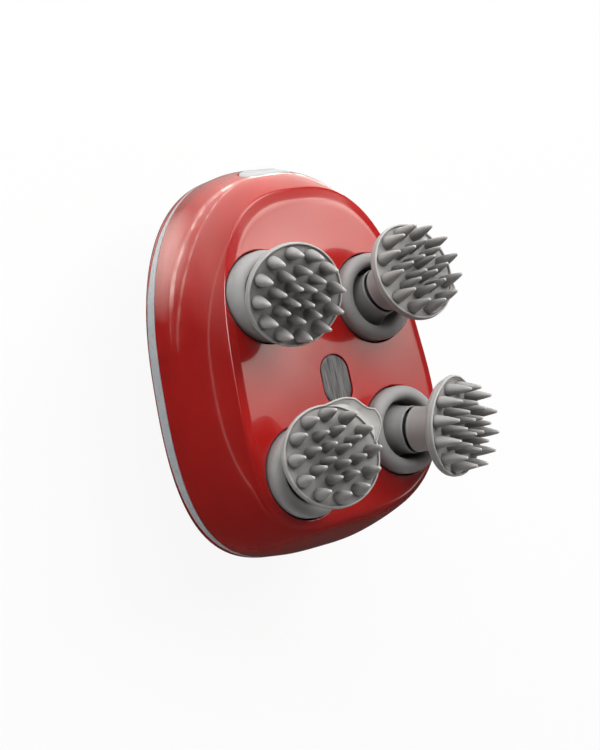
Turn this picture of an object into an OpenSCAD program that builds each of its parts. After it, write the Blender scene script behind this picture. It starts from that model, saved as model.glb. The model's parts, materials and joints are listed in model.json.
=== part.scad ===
// Hand-held scalp massager: four turning soft-spiked heads on one face of an egg-shaped case.
// It lies on its rounded back with the heads upwards (+Z). The origin is the middle of the small
// flat on the back, +Y points to the end with the power button, and all sizes are millimetres.

/* [Case] */
// Distance from the openings in the face to the side of the case at its widest ring
side_margin = 8.9; // [8.7:0.1:10]
// Distance from the openings in the face to the socket end of the case
end_margin = 9.7; // [9.2:0.1:11]
// Height of the face above the widest ring
shoulder_h = 24; // [23:0.5:25]
// Thickness of the case walls
wall = 2.2; // [1.8:0.1:2.4]
// How far the flat face lies inside the widest ring at the sides
face_inset_side = 6.6; // [6.2:0.1:8]
// How far the flat face lies inside the widest ring at the button end
face_inset_button_end = 10.6; // [9:0.1:12]
// How far the flat face lies inside the widest ring at the socket end
face_inset_socket_end = 6.6; // [5.5:0.1:7]
// Roundness of the button end in plan (2 is an ellipse, more is squarer)
button_end_power = 2.35; // [2.1:0.05:2.6]
// Roundness of the socket end in plan
socket_end_power = 2.7; // [2.6:0.05:3]
// Roundness of the flat face's outline at the button end
face_button_power = 2.75; // [2.3:0.05:2.8]
// Roundness of the flat face's outline at the socket end
face_socket_power = 3.4; // [3.2:0.05:4]
// Roundness of the shoulder where it meets the face
shoulder_power = 2; // [1.6:0.1:2.4]
// Straightness of the shoulder between its lower crease and the face (1 is a plane cone)
facet_share = 0.7; // [0.5:0.05:0.9]
// Height of the lower crease above the widest ring at the sides and the socket end
crest_side_h = 5; // [4.5:0.1:7]
// Height of the lower crease above the widest ring at the button end
crest_button_h = 16.2; // [16:0.1:17]
// Part of the face's inset that is reached at the lower crease, at the sides
crest_side_share = 0.09; // [0.05:0.01:0.15]
// Part of the face's inset that is reached at the lower crease, at the button end
crest_button_share = 0.42; // [0.3:0.01:0.5]
// How much narrower the button end is than the middle, as a share
taper = 0.1; // [0.06:0.01:0.12]
// How much shorter the socket end is on the side where the heads are closer together, as a share
keystone = 0.11; // [0:0.01:0.12]
// Roundness of the back below the trim at the sides (1 is a plane cone, 2 an ellipse)
back_side_power = 1.2; // [1.15:0.05:2]
// Roundness of the back below the trim at the two ends
back_end_power = 2; // [1.8:0.05:2.2]
// Size of the flat on the back, as a share of the widest ring
rest_share = 0.32; // [0.3:0.01:0.4]

/* [Trim] */
// Distance of the seam between the case halves below the widest ring
seam_drop = 5.3; // [4.5:0.1:5.5]
// Height of the trim band at the two sides
trim_h = 4; // [2:0.5:5]
// Height of the trim band at the two ends
trim_end_h = 0.8; // [0.8:0.1:2]
// Depth of the tongue that joins the two case halves, each way from the seam
tongue_h = 2; // [1.6:0.1:2.4]
// Thickness of that tongue
tongue_t = 1; // [0.8:0.1:1.2]

/* [Head layout] */
// Distance of each column of heads from the middle line
column_x = 18.7; // [18.6:0.1:19.5]
// Half the spacing of the two heads in the left column
left_row_y = 24.9; // [24:0.1:26]
// Half the spacing of the two heads in the right column
right_row_y = 19.7; // [19.6:0.1:21]

/* [Heads] */
// Radius of the four openings in the face
opening_r = 13.2; // [13:0.1:13.6]
// Gap between an opening and the cup that turns in it
cup_gap = 0.4; // [0.3:0.1:0.8]
// Height of the cup's rounded rim above the face
cup_rise = 3.8; // [3:0.1:6]
// Radius of the mouth of the cup
cup_mouth_r = 8.6; // [8.5:0.1:9]
// Lean of each neck from the turning axis, in degrees
head_tilt = 16; // [12:1:18]
// Distance along the neck from the face to the front edge of the head's rim
head_reach = 19.5; // [19:0.5:22]
// Radius of the head's disc
head_r = 14.1; // [13:0.1:14.2]
// Radius of the neck
neck_r = 6.5; // [5.8:0.1:6.6]
// Thickness of the edge of the disc
disc_t = 2.6; // [2:0.1:3]
// Depth of the disc's floor inside its rim
rim_depth = 0.6; // [0.3:0.1:1]
// Length of a spike
spike_l = 7.9; // [6:0.1:9]
// Radius of a spike's tip
spike_tip_r = 0.5; // [0.3:0.05:0.6]

/* [Drive] */
// Radius of the worm where it meets the wheels
worm_r = 3.7; // [3.5:0.1:3.9]
// Number of teeth on each wheel
wheel_teeth = 30; // [24:1:36]
// Thickness of each wheel
wheel_t = 6; // [5:0.5:6]
// Radius of the spindles' shafts
spindle_r = 3; // [2.5:0.1:3.5]
// Radius of the motor and worm shaft
motor_shaft_r = 1.5; // [1:0.1:1.6]
// Radius of the motor
motor_r = 8; // [7:0.5:8]
// Length of the motor
motor_l = 16.5; // [14:0.5:16.5]
// Room for the switch between the motor and the button end of the case
motor_room = 11.8; // [11.8:0.1:13]
// Gap left where a turning part is held in a bush
running_gap = 0.05; // [0.02:0.01:0.08]

/* [Electrics] */
// Radius of the battery cell
cell_r = 9.2; // [7:0.1:9.2]
// Length of the battery cell
cell_l = 65; // [50:1:65]
// Gap between the battery cell and the back wall
cell_lift = 4.1; // [4.1:0.1:5]
// Width of the power button
button_w = 17.4; // [14:0.1:18]
// Height of the power button
button_h = 8; // [7:0.1:8.4]
// How far the power button moves when pressed
button_travel = 0.6; // [0.3:0.1:0.7]
// Height of the power button's middle above the widest ring
button_rise = 12; // [11:0.1:12.2]
// Radius of the charging socket's bore, for a 2.5 mm charging pin
socket_r = 1.3; // [1.25:0.05:1.8]
// Depth of the charging socket's bore
socket_depth = 9; // [7:0.5:10]
// Distance of the charging socket's axis below the seam
socket_drop = 8; // [7.8:0.1:8.5]

/* [Hidden] */
half_w = column_x + opening_r + side_margin;
// Along the case: the left heads and a margin at one end, the motor and the switch at the other
motor_step = 11.6;           // from the axes of the left heads nearer the button to the motor
socket_side = left_row_y + opening_r + end_margin;
button_side = left_row_y + motor_step + motor_l + motor_room;
half_l = (socket_side + button_side) / 2;
heads_y = (socket_side - button_side) / 2;
// The stack inside sets the height: cell, board, gearbox, seals, hubs, then the face
cell_z = wall + cell_lift + cell_r;
board_z = cell_z + cell_r + 0.9;
board_top_t = 1.2;
cover_drop = 8;              // from the worm's axis down to the underside of the gearbox cover
worm_z = board_z + board_top_t + 1.2 + cover_drop;
frame_z = worm_z + wheel_t / 2 + 2.5;   // underside of the gearbox frame
frame_t = 3;
bush_flange = 1;
seal_t = 2;
hub_z = frame_z + frame_t + bush_flange + seal_t + 3;   // underside of the cups' hubs
body_h = hub_z + 6.5;
waist_z = body_h - shoulder_h;
button_z = waist_z + button_rise;
seam_z = waist_z - seam_drop;
turn_z = seam_z - trim_h / 2; // below this the wall turns in towards the back
socket_z = seam_z - socket_drop;
fit_gap = 0.15;              // gap between fixed parts that slot together
cup_r = opening_r - cup_gap;
wheel_r = column_x - worm_r; // pitch radius, so every wheel meets the worm
mesh_gap = 0.2;              // each tooth form stays this far inside its pitch surface
face_in = body_h - wall;
ring_n = 64;                 // points round the case
crest_n = 4;                 // rows of points from the seam to the lower crease
facet_n = 7;                 // rows of points from the lower crease to the face
shoulder_n = crest_n + facet_n;
back_n = 11;                 // rows of points from the seam to the back
below = 0.3;                 // how far the case runs on before the flat is cut

PLACES = ["left_top", "right_top", "left_low", "right_low"];
ROTOR_XY = [[-column_x, heads_y + left_row_y], [column_x, heads_y + right_row_y],
            [-column_x, heads_y - left_row_y], [column_x, heads_y - right_row_y]];
LEAN_AT = [206, 57, 134, 331]; // direction in which each neck leans at rest
TURNING = ["spindle", "worm_wheel", "cup", "head", "spindle_clip"];
FIXED = ["front_shell", "rear_shell", "trim_band", "center_inlay", "center_screw", "case_screws",
         "shaft_seals", "gearbox_frame", "gearbox_cover", "gearbox_screws", "upper_bushes",
         "lower_bushes", "motor", "worm_shaft", "worm_bush", "battery", "battery_tray",
         "main_board", "switch_board", "tact_switch", "power_button", "charge_jack",
         "port_cover", "port_pin", "battery_leads", "motor_leads"];

// ---- the form of the case ----------------------------------------------------------------

function power_of(v, p) = sign(v) * pow(abs(v), p);
// Roundness in plan and inset of the face, each for the end that the angle t lies in
function plan_power(t, lift) = sin(t) > 0 ?
    button_end_power + (face_button_power - button_end_power) * lift :
    socket_end_power + (face_socket_power - socket_end_power) * lift;
function end_inset(t) = sin(t) > 0 ? face_inset_button_end : face_inset_socket_end;

// Share of the plan size at height z for a case whose surface lies off inside the outer one
function back_power(t) = back_end_power + (back_side_power - back_end_power) * abs(cos(t));
function back_share(t, z, off) =
    z >= turn_z ? 1 :
    let (fall = min(1, (turn_z - z) / (turn_z - off)), p = back_power(t))
    rest_share + (1 - rest_share) * pow(1 - pow(fall, p), 1 / p);
// The lower crease of the shoulder is low at the sides and climbs over the button
function crest_mix(t) = pow(max(0, sin(t)), 4);
function crest_rise(t) = (crest_side_h + (crest_button_h - crest_side_h) * crest_mix(t)) / shoulder_h;
function crest_share(t) = crest_side_share + (crest_button_share - crest_side_share) * crest_mix(t);
function facet(v) = facet_share * v
    + (1 - facet_share) * (1 - pow(1 - pow(v, shoulder_power), 1 / shoulder_power));
// 0 at the widest ring, 1 at the edge of the flat face
function shoulder_lift(t, z, off) =
    z <= waist_z ? 0 :
    let (rise = min(1, (z - waist_z) / (shoulder_h - off)), low = crest_rise(t), share = crest_share(t))
    rise < low ? share * pow(rise / low, 1.7) :
    share + (1 - share) * facet(min(1, (rise - low) / (1 - low)));
function skin(t, z, off) =
    let (lift = shoulder_lift(t, z, off), p = 2 / plan_power(t, lift), share = back_share(t, z, off),
         x = power_of(cos(t), p), y = power_of(sin(t), p),
         slant = y < 0 ? 1 - keystone * x * abs(x) : 1)
    [(half_w - face_inset_side * lift - off) * share * x * (1 - taper * y),
     (half_l - end_inset(t) * lift - off) * share * y * slant, z];

// The seam rises and falls round the case, so that the trim band is tall only at the sides
function band_half(t) = (trim_end_h + (trim_h - trim_end_h) * pow(abs(cos(t)), 2.2)) / 2;
function seam_top(t) = seam_z + band_half(t);
function seam_low(t) = seam_z - band_half(t);

function facet_row(i) = pow(sin(90 * i / facet_n), 2 / shoulder_power);
function back_row(i) = pow(sin(90 * i / back_n), 1.5);
function crest_z(t, off) = waist_z + crest_rise(t) * (shoulder_h - off);
function front_z(t, i, off) = i < crest_n ?
    seam_top(t) + (crest_z(t, off) - seam_top(t)) * i / crest_n :
    crest_z(t, off) + (body_h - off - crest_z(t, off)) * facet_row(i - crest_n);
function rear_z(t, i, off) =
    seam_low(t) - (seam_low(t) - off + (off > 0 ? 0 : below)) * back_row(i);

function ring(i, off, front) = [for (k = [0:ring_n - 1]) let (t = 360 * k / ring_n)
    skin(t, front ? front_z(t, i, off) : rear_z(t, i, off), off)];
function flat_of(rows) = [for (row = rows) for (p = row) p];

// Side faces between rows of points, and fans that close the first and last row
function side_faces(rows, n) = [for (r = [0:rows - 2]) for (k = [0:n - 1])
    let (a = r * n + k, b = r * n + (k + 1) % n) each [[a, a + n, b], [b, a + n, b + n]]];
function fan(first, n, tip, up) = [for (k = [0:n - 1])
    up ? [first + k, first + (k + 1) % n, tip] : [first + (k + 1) % n, first + k, tip]];
function turned(faces, yes) = yes ? [for (f = faces) [f[2], f[1], f[0]]] : faces;

// A shell open at its seam: outer rows to the pole, inner rows back, joined along the seam
module shell(front) {
    n = front ? shoulder_n : back_n;
    outer = [for (i = [0:n]) ring(i, 0, front)];
    inner = [for (i = [n:-1:0]) ring(i, wall, front)];
    pole = ring_n * (n + 1);
    points = concat(flat_of(outer), flat_of(inner),
                    [[0, 0, front ? body_h : -below], [0, 0, front ? face_in : wall]]);
    out_tip = 2 * pole;
    faces = concat(side_faces(n + 1, ring_n), fan(pole - ring_n, ring_n, out_tip, false),
                   [for (f = side_faces(n + 1, ring_n)) [f[0] + pole, f[1] + pole, f[2] + pole]],
                   fan(pole, ring_n, out_tip + 1, true),
                   [for (k = [0:ring_n - 1]) let (a = 2 * pole - ring_n + k,
                        b = 2 * pole - ring_n + (k + 1) % ring_n, c = k, d = (k + 1) % ring_n)
                        each [[a, c, b], [b, c, d]]]);
    polyhedron(points = points, faces = turned(faces, !front));
}

// The case as one solid whose surface lies off inside the outer one, to trim what joins it
module case_solid(off) {
    rows = concat([for (i = [back_n:-1:1]) ring(i, off, false)],
                  [for (i = [0:shoulder_n]) ring(i, off, true)]);
    last = ring_n * len(rows);
    points = concat(flat_of(rows), [[0, 0, off], [0, 0, body_h - off]]);
    faces = concat(side_faces(len(rows), ring_n), fan(0, ring_n, last, true),
                   fan(last - ring_n, ring_n, last + 1, false));
    polyhedron(points = points, faces = turned(faces, false));
}

module at_rotor(i) { translate([ROTOR_XY[i][0], ROTOR_XY[i][1], 0]) children(); }
module at_heads_middle() { translate([0, heads_y, 0]) children(); }
module at_every(places) { for (p = places) translate([p[0], p[1], 0]) children(); }
module leaning(i) { rotate([0, 0, LEAN_AT[i]]) rotate([0, head_tilt, 0]) children(); }
module tube(r_out, r_in, h) {
    difference() {
        cylinder(r = r_out, h = h, $fn = 48);
        translate([0, 0, -1]) cylinder(r = r_in, h = h + 2, $fn = 48);
    }
}
module pill(w, h) {
    union() {
        square([w - h, h], center = true);
        for (side = [-1, 1]) translate([side * (w - h) / 2, 0]) circle(d = h, $fn = 48);
    }
}

// ---- places shared by several parts --------------------------------------------------------

case_post_r = 3.2;
side_post_x = half_w - 8.6;
end_post = [half_w - 18.4, half_l - 18.3];
case_posts = [[-side_post_x, heads_y], [side_post_x, heads_y],
              [-end_post[0], end_post[1]], [end_post[0], end_post[1]]];
case_screw_r = 1.25;
screw_head_r = 2.5;
screw_seat_z = seam_z - 8;              // where the case screws' heads bear in the rear posts
case_screw_head_h = 1.9;
case_screw_l = 13;
cover_t = 2.5;
cover_z = worm_z - cover_drop;          // underside of the gearbox cover
frame_post_x = column_x + 2.3;
frame_post_y = 12;
frame_posts = [[0, frame_post_y], [0, -frame_post_y],
               [-frame_post_x, 0], [frame_post_x, 0]]; // from the middle of the heads
frame_post_r = 2.8;
frame_screw_r = 1;
pillar_x = column_x + 7.3;
pillars = [[-pillar_x, 0], [pillar_x, 0]];
pillar_r = 2.6;
arm_r = 9;
bush_r = 5;
hub_t = 2;
hub_r = cup_r - 1.5;
pivot_z = body_h - 0.6;                 // where the leaning neck starts
motor_y = heads_y + left_row_y + motor_step;
worm_end_y = heads_y - left_row_y - 9.1;
bearing_half_w = 6.2;
bearing_t = 2;

// Place and lean of the power button on the shoulder, from the form of the case
button_slope = (skin(90, button_z - 2, 0)[1] - skin(90, button_z + 2, 0)[1]) / 4;
button_lean = atan(button_slope);
button_y = skin(90, button_z, 0)[1];
button_proud = 0.5;
button_side_gap = 0.25;
bow_angle = 13;                         // the button's side lies about this far round the case
end_bow = skin(90, button_z, 0)[1] - skin(90 - bow_angle, button_z, 0)[1];
flange_top = -(wall / cos(button_lean) + end_bow + 0.6);
flange_t = 1;
flange_over = 1.2;
switch_top = flange_top - flange_t - button_travel - 0.1;
switch_body = switch_top - 0.4;
switch_t = 1.2;
switch_w = 5.2;
board_t = 0.8;
module at_button() {
    translate([0, button_y, button_z]) rotate([-90 + button_lean, 0, 0]) children();
}

// Place and lean of the charging port on the other end
port_w = 15;
port_h = 8.4;
port_slope = (skin(270, socket_z - 4, 0)[1] - skin(270, socket_z + 4, 0)[1]) / 8;
port_lean = atan(port_slope);
port_y = skin(270, socket_z, 0)[1];
port_depth = 1.4;
port_gap = 0.3;
cover_thick = 1.0;
knuckle_r = 0.85;
knuckle_w = 6;
pin_r = 0.45;
hinge_depth = 0.7;
hinge_drop = port_h / 2 + 0.9;
jack_w = 8;
jack_h = 5.8;
jack_nose_r = 2.8;
jack_front = port_y + cover_thick / cos(port_lean) + jack_nose_r * tan(port_lean) + fit_gap;
module at_port() { translate([0, port_y, socket_z]) rotate([90 + port_lean, 0, 0]) children(); }
module at_port_hinge() { translate([0, -hinge_drop, -hinge_depth]) rotate([0, 90, 0]) children(); }

// ---- case ------------------------------------------------------------------------------------

module front_shell() {
    color("firebrick") difference() {
        union() {
            shell(true);
            intersection() {
                at_every(case_posts)
                    translate([0, 0, seam_z + 0.2]) cylinder(r = case_post_r, h = body_h, $fn = 32);
                case_solid(wall / 2);
            }
            at_heads_middle() at_every(frame_posts)
                translate([0, 0, frame_z + frame_t])
                    cylinder(r = frame_post_r, h = face_in + 0.5 - frame_z - frame_t, $fn = 32);
        }
        for (i = [0:3]) at_rotor(i)
            translate([0, 0, hub_z - 0.5]) cylinder(r = opening_r, h = body_h - hub_z + 3, $fn = 96);
        at_every(case_posts)
            translate([0, 0, seam_z - 1]) cylinder(r = case_screw_r - 0.25, h = 9, $fn = 24);
        at_heads_middle() {
            at_every(frame_posts)
                translate([0, 0, frame_z]) cylinder(r = frame_screw_r - 0.2, h = 9, $fn = 24);
            translate([0, 0, body_h - inlay_t]) linear_extrude(5) inlay_outline(inlay_gap);
            translate([0, 0, center_seat_z]) cylinder(r = screw_head_r + 0.2, h = 3, $fn = 32);
            translate([0, 0, face_in - 2]) cylinder(r = case_screw_r + 0.15, h = 6, $fn = 32);
        }
        at_button() translate([0, 0, flange_top - 1]) linear_extrude(9)
            pill(button_w + 2 * button_side_gap, button_h + 2 * button_side_gap);
    }
}

module rear_shell() {
    color("firebrick") difference() {
        union() {
            shell(false);
            intersection() {
                at_every(case_posts) cylinder(r = case_post_r, h = seam_z - 0.1, $fn = 32);
                case_solid(wall / 2);
            }
        }
        translate([-half_w, -half_l, -1]) cube([2 * half_w, 2 * half_l, 1]);
        at_every(case_posts) {
            translate([0, 0, -1]) cylinder(r = case_screw_r + 0.15, h = seam_z + 2, $fn = 32);
            translate([0, 0, -1]) cylinder(r = screw_head_r + 0.2, h = screw_seat_z + 1, $fn = 32);
        }
        at_port() {
            translate([0, 0, -port_depth]) linear_extrude(6)
                pill(port_w + 2 * port_gap, port_h + 2 * port_gap);
            translate([-knuckle_w / 2 - port_gap, -hinge_drop - knuckle_r - port_gap,
                       -hinge_depth - knuckle_r - port_gap])
                cube([knuckle_w + 2 * port_gap, hinge_drop, 6]);
            at_port_hinge() cylinder(r = pin_r, h = knuckle_w + 4, center = true, $fn = 32);
        }
        translate([0, port_y - 3, socket_z]) rotate([-90, 0, 0])
            cylinder(r = jack_nose_r + fit_gap, h = 12, $fn = 48);
    }
}

// A ring whose section at each angle is eight corners: the visible band and the hidden tongue
function trim_section(t) =
    let (top = seam_top(t) - 0.1, low = seam_low(t) + 0.1, inner = wall + fit_gap,
         up = seam_top(t) + tongue_h, down = seam_low(t) - tongue_h,
         back = inner + tongue_t)
    [skin(t, low, 0), skin(t, top, 0), skin(t, top, inner), skin(t, up, inner),
     skin(t, up, back), skin(t, down, back), skin(t, down, inner), skin(t, low, inner)];
module trim_band() {
    points = [for (k = [0:ring_n - 1]) each trim_section(360 * k / ring_n)];
    faces = [for (k = [0:ring_n - 1]) for (j = [0:7])
        let (a = 8 * k + j, b = 8 * k + (j + 1) % 8, c = 8 * ((k + 1) % ring_n) + j,
             d = 8 * ((k + 1) % ring_n) + (j + 1) % 8) each [[a, b, c], [b, d, c]]];
    color("lightsteelblue") difference() {
        polyhedron(points = points, faces = faces);
        translate([0, 0, seam_z - 12]) at_every(case_posts)
            cylinder(r = case_post_r + 0.2, h = 24, $fn = 32);
    }
}

inlay_w = 10.6;
inlay_l = 15.6;
inlay_t = 0.9;
inlay_gap = 0.2;
module inlay_outline(grow) { rotate(90) pill(inlay_l + 2 * grow, inlay_w + 2 * grow); }
module center_inlay() {
    color("gray") at_heads_middle()
        translate([0, 0, body_h - inlay_t]) linear_extrude(inlay_t - 0.2) inlay_outline(0);
}

module screw(head_z, head_h, shank_r, length, up) {
    // head at the bottom and shank upwards when up is 1, mirrored when it is -1
    translate([0, 0, head_z]) scale_z(up) {
        difference() {
            cylinder(r = screw_head_r, h = head_h, $fn = 32);
            translate([0, 0, -0.01]) cylinder(r = 0.9, h = head_h * 0.6, $fn = 6);
        }
        translate([0, 0, head_h - 0.01]) cylinder(r = shank_r, h = length, $fn = 24);
    }
}
module scale_z(up) { if (up > 0) children(); else mirror([0, 0, 1]) children(); }

center_screw_l = 6;
center_head_h = 0.8;
center_seat_z = body_h - inlay_t - 0.9;
module center_screw() {
    color("silver") at_heads_middle()
        screw(center_seat_z + center_head_h, center_head_h, case_screw_r - 0.1, center_screw_l, -1);
}
module case_screws() {
    color("silver") at_every(case_posts) screw(screw_seat_z - case_screw_head_h - 0.1,
                                               case_screw_head_h, case_screw_r - 0.3, case_screw_l, 1);
}

module shaft_seals() {
    color("dimgray") for (i = [0:3]) at_rotor(i)
        translate([0, 0, frame_z + frame_t + bush_flange]) tube(bush_r + 1, spindle_r + running_gap, seal_t);
}

// ---- turning parts ----------------------------------------------------------------------------

shaft_foot = cover_z - 1.6;
clip_t = 0.8;
post_r = 4.3;
boss_r = 5.5;
boss_gap = 0.3;
module spindle(i) {
    color("darkgray") at_rotor(i) difference() {
        union() {
            translate([0, 0, shaft_foot]) cylinder(r = spindle_r, h = hub_z - shaft_foot + 0.5, $fn = 48);
            translate([0, 0, hub_z]) cylinder(r = hub_r, h = hub_t, $fn = 64);
            translate([0, 0, hub_z + hub_t - 0.5])
                cylinder(r = boss_r, h = pivot_z - hub_z - hub_t + 0.5, $fn = 48);
            translate([0, 0, pivot_z]) sphere(r = boss_r, $fn = 48);
            translate([0, 0, pivot_z]) leaning(i)
                cylinder(r = post_r, h = head_reach - rim_depth - 2.6, $fn = 48);
        }
        translate([0, 0, shaft_foot + 0.4]) tube(spindle_r + 1, spindle_r - 0.5, clip_t + 0.1);
    }
}
module spindle_clip(i) {
    color("silver") at_rotor(i) translate([0, 0, shaft_foot + 0.45]) difference() {
        tube(spindle_r + 1.4, spindle_r - 0.45, clip_t);
        translate([0, -1.2, -1]) cube([spindle_r + 3, 2.4, 3]);
    }
}

module wheel_outline(r, teeth) {
    depth = 1.3;
    width = PI * r / teeth * 0.95;
    difference() {
        circle(r = r, $fn = 120);
        for (k = [0:teeth - 1]) rotate(360 * k / teeth)
            translate([r - depth, -width / 2]) square([depth + 1, width]);
    }
}
module worm_wheel(i) {
    color("ivory") at_rotor(i) translate([0, 0, worm_z - wheel_t / 2]) difference() {
        union() {
            linear_extrude(wheel_t) wheel_outline(wheel_r - mesh_gap, wheel_teeth);
            cylinder(r = spindle_r + 2, h = wheel_t + 1.5, $fn = 48);
        }
        translate([0, 0, -1]) cylinder(r = spindle_r, h = wheel_t + 4, $fn = 48);
        translate([0, 0, wheel_t - 1.5]) tube(wheel_r - 3, spindle_r + 3, 3);
        translate([0, 0, -1.5]) tube(wheel_r - 3, spindle_r + 3, 3);
    }
}

cup_tube_r = (cup_r - cup_mouth_r) / 2;
cup_floor_t = 1.8;
collar_h = 4.7;                         // height of the collar's lip along the leaning neck
collar_drop = 5;                        // how far the collar's foot lies below the neck's start
collar_lip_r = neck_r - 0.1;
collar_foot_r = collar_lip_r + 2;
module cup(i) {
    crown_z = body_h + cup_rise - cup_tube_r;
    floor_z = hub_z + hub_t;
    color("dimgray") at_rotor(i) difference() {
        union() {
            rotate_extrude($fn = 96) union() {
                polygon([[hub_r + 0.2, hub_z], [cup_r, hub_z], [cup_r, crown_z], [cup_mouth_r, crown_z],
                         [cup_mouth_r, floor_z + cup_floor_t], [0, floor_z + cup_floor_t],
                         [0, floor_z], [hub_r + 0.2, floor_z]]);
                translate([cup_mouth_r + cup_tube_r, crown_z]) circle(r = cup_tube_r, $fn = 48);
            }
            intersection() {
                translate([0, 0, pivot_z]) leaning(i) translate([0, 0, -collar_drop])
                    cylinder(r1 = collar_foot_r, r2 = collar_lip_r, h = collar_drop + collar_h, $fn = 96);
                translate([0, 0, floor_z + 0.5]) cylinder(r = cup_r - 0.5, h = cup_r, $fn = 96);
            }
        }
        translate([0, 0, hub_z]) cylinder(r = boss_r + boss_gap, h = pivot_z - hub_z, $fn = 48);
        translate([0, 0, pivot_z]) sphere(r = boss_r + 2 * boss_gap, $fn = 48);
        translate([0, 0, pivot_z]) leaning(i) cylinder(r = post_r + boss_gap, h = head_reach, $fn = 48);
    }
}

// Rings of spikes: how many, at what radius, and the radius of each spike's foot
SPIKES = [[12, 10.6, 1.95], [8, 6.3, 1.5], [4, 2.6, 1.4]];
lip_z = boss_r + 0.5;                   // where the neck's lower lip clears the spindle's ball
module head(i) {
    back = head_reach - disc_t;
    floor_at = head_reach - rim_depth;
    flare = 2.4;
    color("gray") at_rotor(i) translate([0, 0, pivot_z]) leaning(i) {
        rotate_extrude($fn = 96) difference() {
            union() {
                polygon([[0, lip_z], [neck_r, lip_z], [neck_r, back - flare], [neck_r + flare, back],
                         [head_r - 0.5, back], [head_r, back + 0.8], [head_r, head_reach - 0.4],
                         [head_r - 0.4, head_reach], [head_r - 0.9, head_reach],
                         [head_r - 1.1, floor_at], [0, floor_at]]);
                translate([neck_r, lip_z + 0.5]) circle(r = 0.5, $fn = 24);
            }
            translate([neck_r + flare, back - flare]) circle(r = flare, $fn = 48);
            square([post_r, head_reach - rim_depth - 2.5]);
        }
        for (set = SPIKES) for (k = [0:set[0] - 1])
            rotate([0, 0, 360 * (k + 0.5) / set[0]]) translate([set[1], 0, floor_at - 0.1]) spike(set[2]);
    }
}
module spike(foot_r) {
    cylinder(r1 = foot_r, r2 = spike_tip_r, h = spike_l - spike_tip_r, $fn = 24);
    translate([0, 0, spike_l - spike_tip_r]) sphere(r = spike_tip_r, $fn = 16);
}

// ---- gearbox -----------------------------------------------------------------------------------

module plate_outline() {
    polygon([for (i = [0, 1, 3, 2]) ROTOR_XY[i]]);
    for (i = [0:3]) translate(ROTOR_XY[i]) circle(r = arm_r, $fn = 64);
    translate([-column_x - arm_r, heads_y - left_row_y]) square([2 * arm_r, 2 * left_row_y]);
    translate([column_x - arm_r, heads_y - right_row_y]) square([2 * arm_r, 2 * right_row_y]);
}
module gearbox_frame() {
    color("whitesmoke") difference() {
        union() {
            translate([0, 0, frame_z]) linear_extrude(frame_t) plate_outline();
            at_heads_middle() translate([0, 0, frame_z + 1])
                cylinder(r = 3, h = face_in - fit_gap - frame_z - 1, $fn = 32);
        }
        for (i = [0:3]) at_rotor(i)
            translate([0, 0, frame_z - 1]) cylinder(r = bush_r, h = frame_t + 2, $fn = 48);
        at_heads_middle() {
            at_every(concat(frame_posts, pillars))
                translate([0, 0, frame_z - 1]) cylinder(r = frame_screw_r + 0.1, h = frame_t + 2, $fn = 24);
            translate([0, 0, face_in - center_screw_l - 1])
                cylinder(r = case_screw_r - 0.05, h = 9, $fn = 24);
        }
    }
}

// Cover with two pillars, the motor's wall at one end and the worm's bearing wall at the other
module gearbox_cover() {
    color("gainsboro") difference() {
        union() {
            translate([0, 0, cover_z]) linear_extrude(cover_t) union() {
                plate_outline();
                translate([-bearing_half_w, worm_end_y - bearing_t])
                    square([2 * bearing_half_w, motor_y - worm_end_y + bearing_t - 0.1]);
            }
            at_heads_middle() at_every(pillars)
                translate([0, 0, cover_z + 1]) cylinder(r = pillar_r, h = frame_z - cover_z - 1, $fn = 32);
            translate([-bearing_half_w, motor_y - bearing_t - 0.1, cover_z + 1])
                cube([2 * bearing_half_w, bearing_t, 2 * (worm_z - cover_z) - 4]);
            translate([-bearing_half_w, worm_end_y - bearing_t, cover_z + 1])
                cube([2 * bearing_half_w, bearing_t, 2 * (worm_z - cover_z) - 4]);
            for (side = [-1, 1]) translate([side * board_post_x, board_post_y, board_z + board_top_t])
                cylinder(r = 2, h = cover_z - board_z, $fn = 24);
        }
        for (i = [0:3]) at_rotor(i)
            translate([0, 0, cover_z - 1]) cylinder(r = bush_r, h = cover_t + 2, $fn = 48);
        at_heads_middle() at_every(pillars)
            translate([0, 0, frame_z - 7]) cylinder(r = frame_screw_r - 0.1, h = 8, $fn = 24);
        translate([0, motor_y - 5, worm_z]) rotate([-90, 0, 0])
            cylinder(r = motor_boss_r + fit_gap, h = 8, $fn = 48);
        translate([0, worm_end_y - 5, worm_z]) rotate([-90, 0, 0])
            cylinder(r = worm_bush_r, h = 8, $fn = 48);
    }
}
module gearbox_screws() {
    color("silver") at_heads_middle() {
        at_every(frame_posts) small_screw(frame_z, 1);
        at_every(pillars) small_screw(frame_z + frame_t, -1);
    }
}
module small_screw(seat_z, up) {
    head_h = 1.2;
    translate([0, 0, seat_z]) scale_z(up) {
        translate([0, 0, -head_h]) cylinder(r = 2, h = head_h, $fn = 32);
        translate([0, 0, -0.1]) cylinder(r = frame_screw_r - 0.25, h = 8, $fn = 24);
    }
}
module bush(h) {
    difference() {
        union() {
            cylinder(r = bush_r, h = h, $fn = 48);
            translate([0, 0, h]) cylinder(r = bush_r + 1, h = bush_flange, $fn = 48);
        }
        translate([0, 0, -1]) cylinder(r = spindle_r + running_gap, h = h + 4, $fn = 48);
    }
}
module upper_bushes() {
    color("peru") for (i = [0:3]) at_rotor(i) translate([0, 0, frame_z]) bush(frame_t);
}
module lower_bushes() {
    color("peru") for (i = [0:3]) at_rotor(i) translate([0, 0, cover_z]) bush(cover_t);
}

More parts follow.
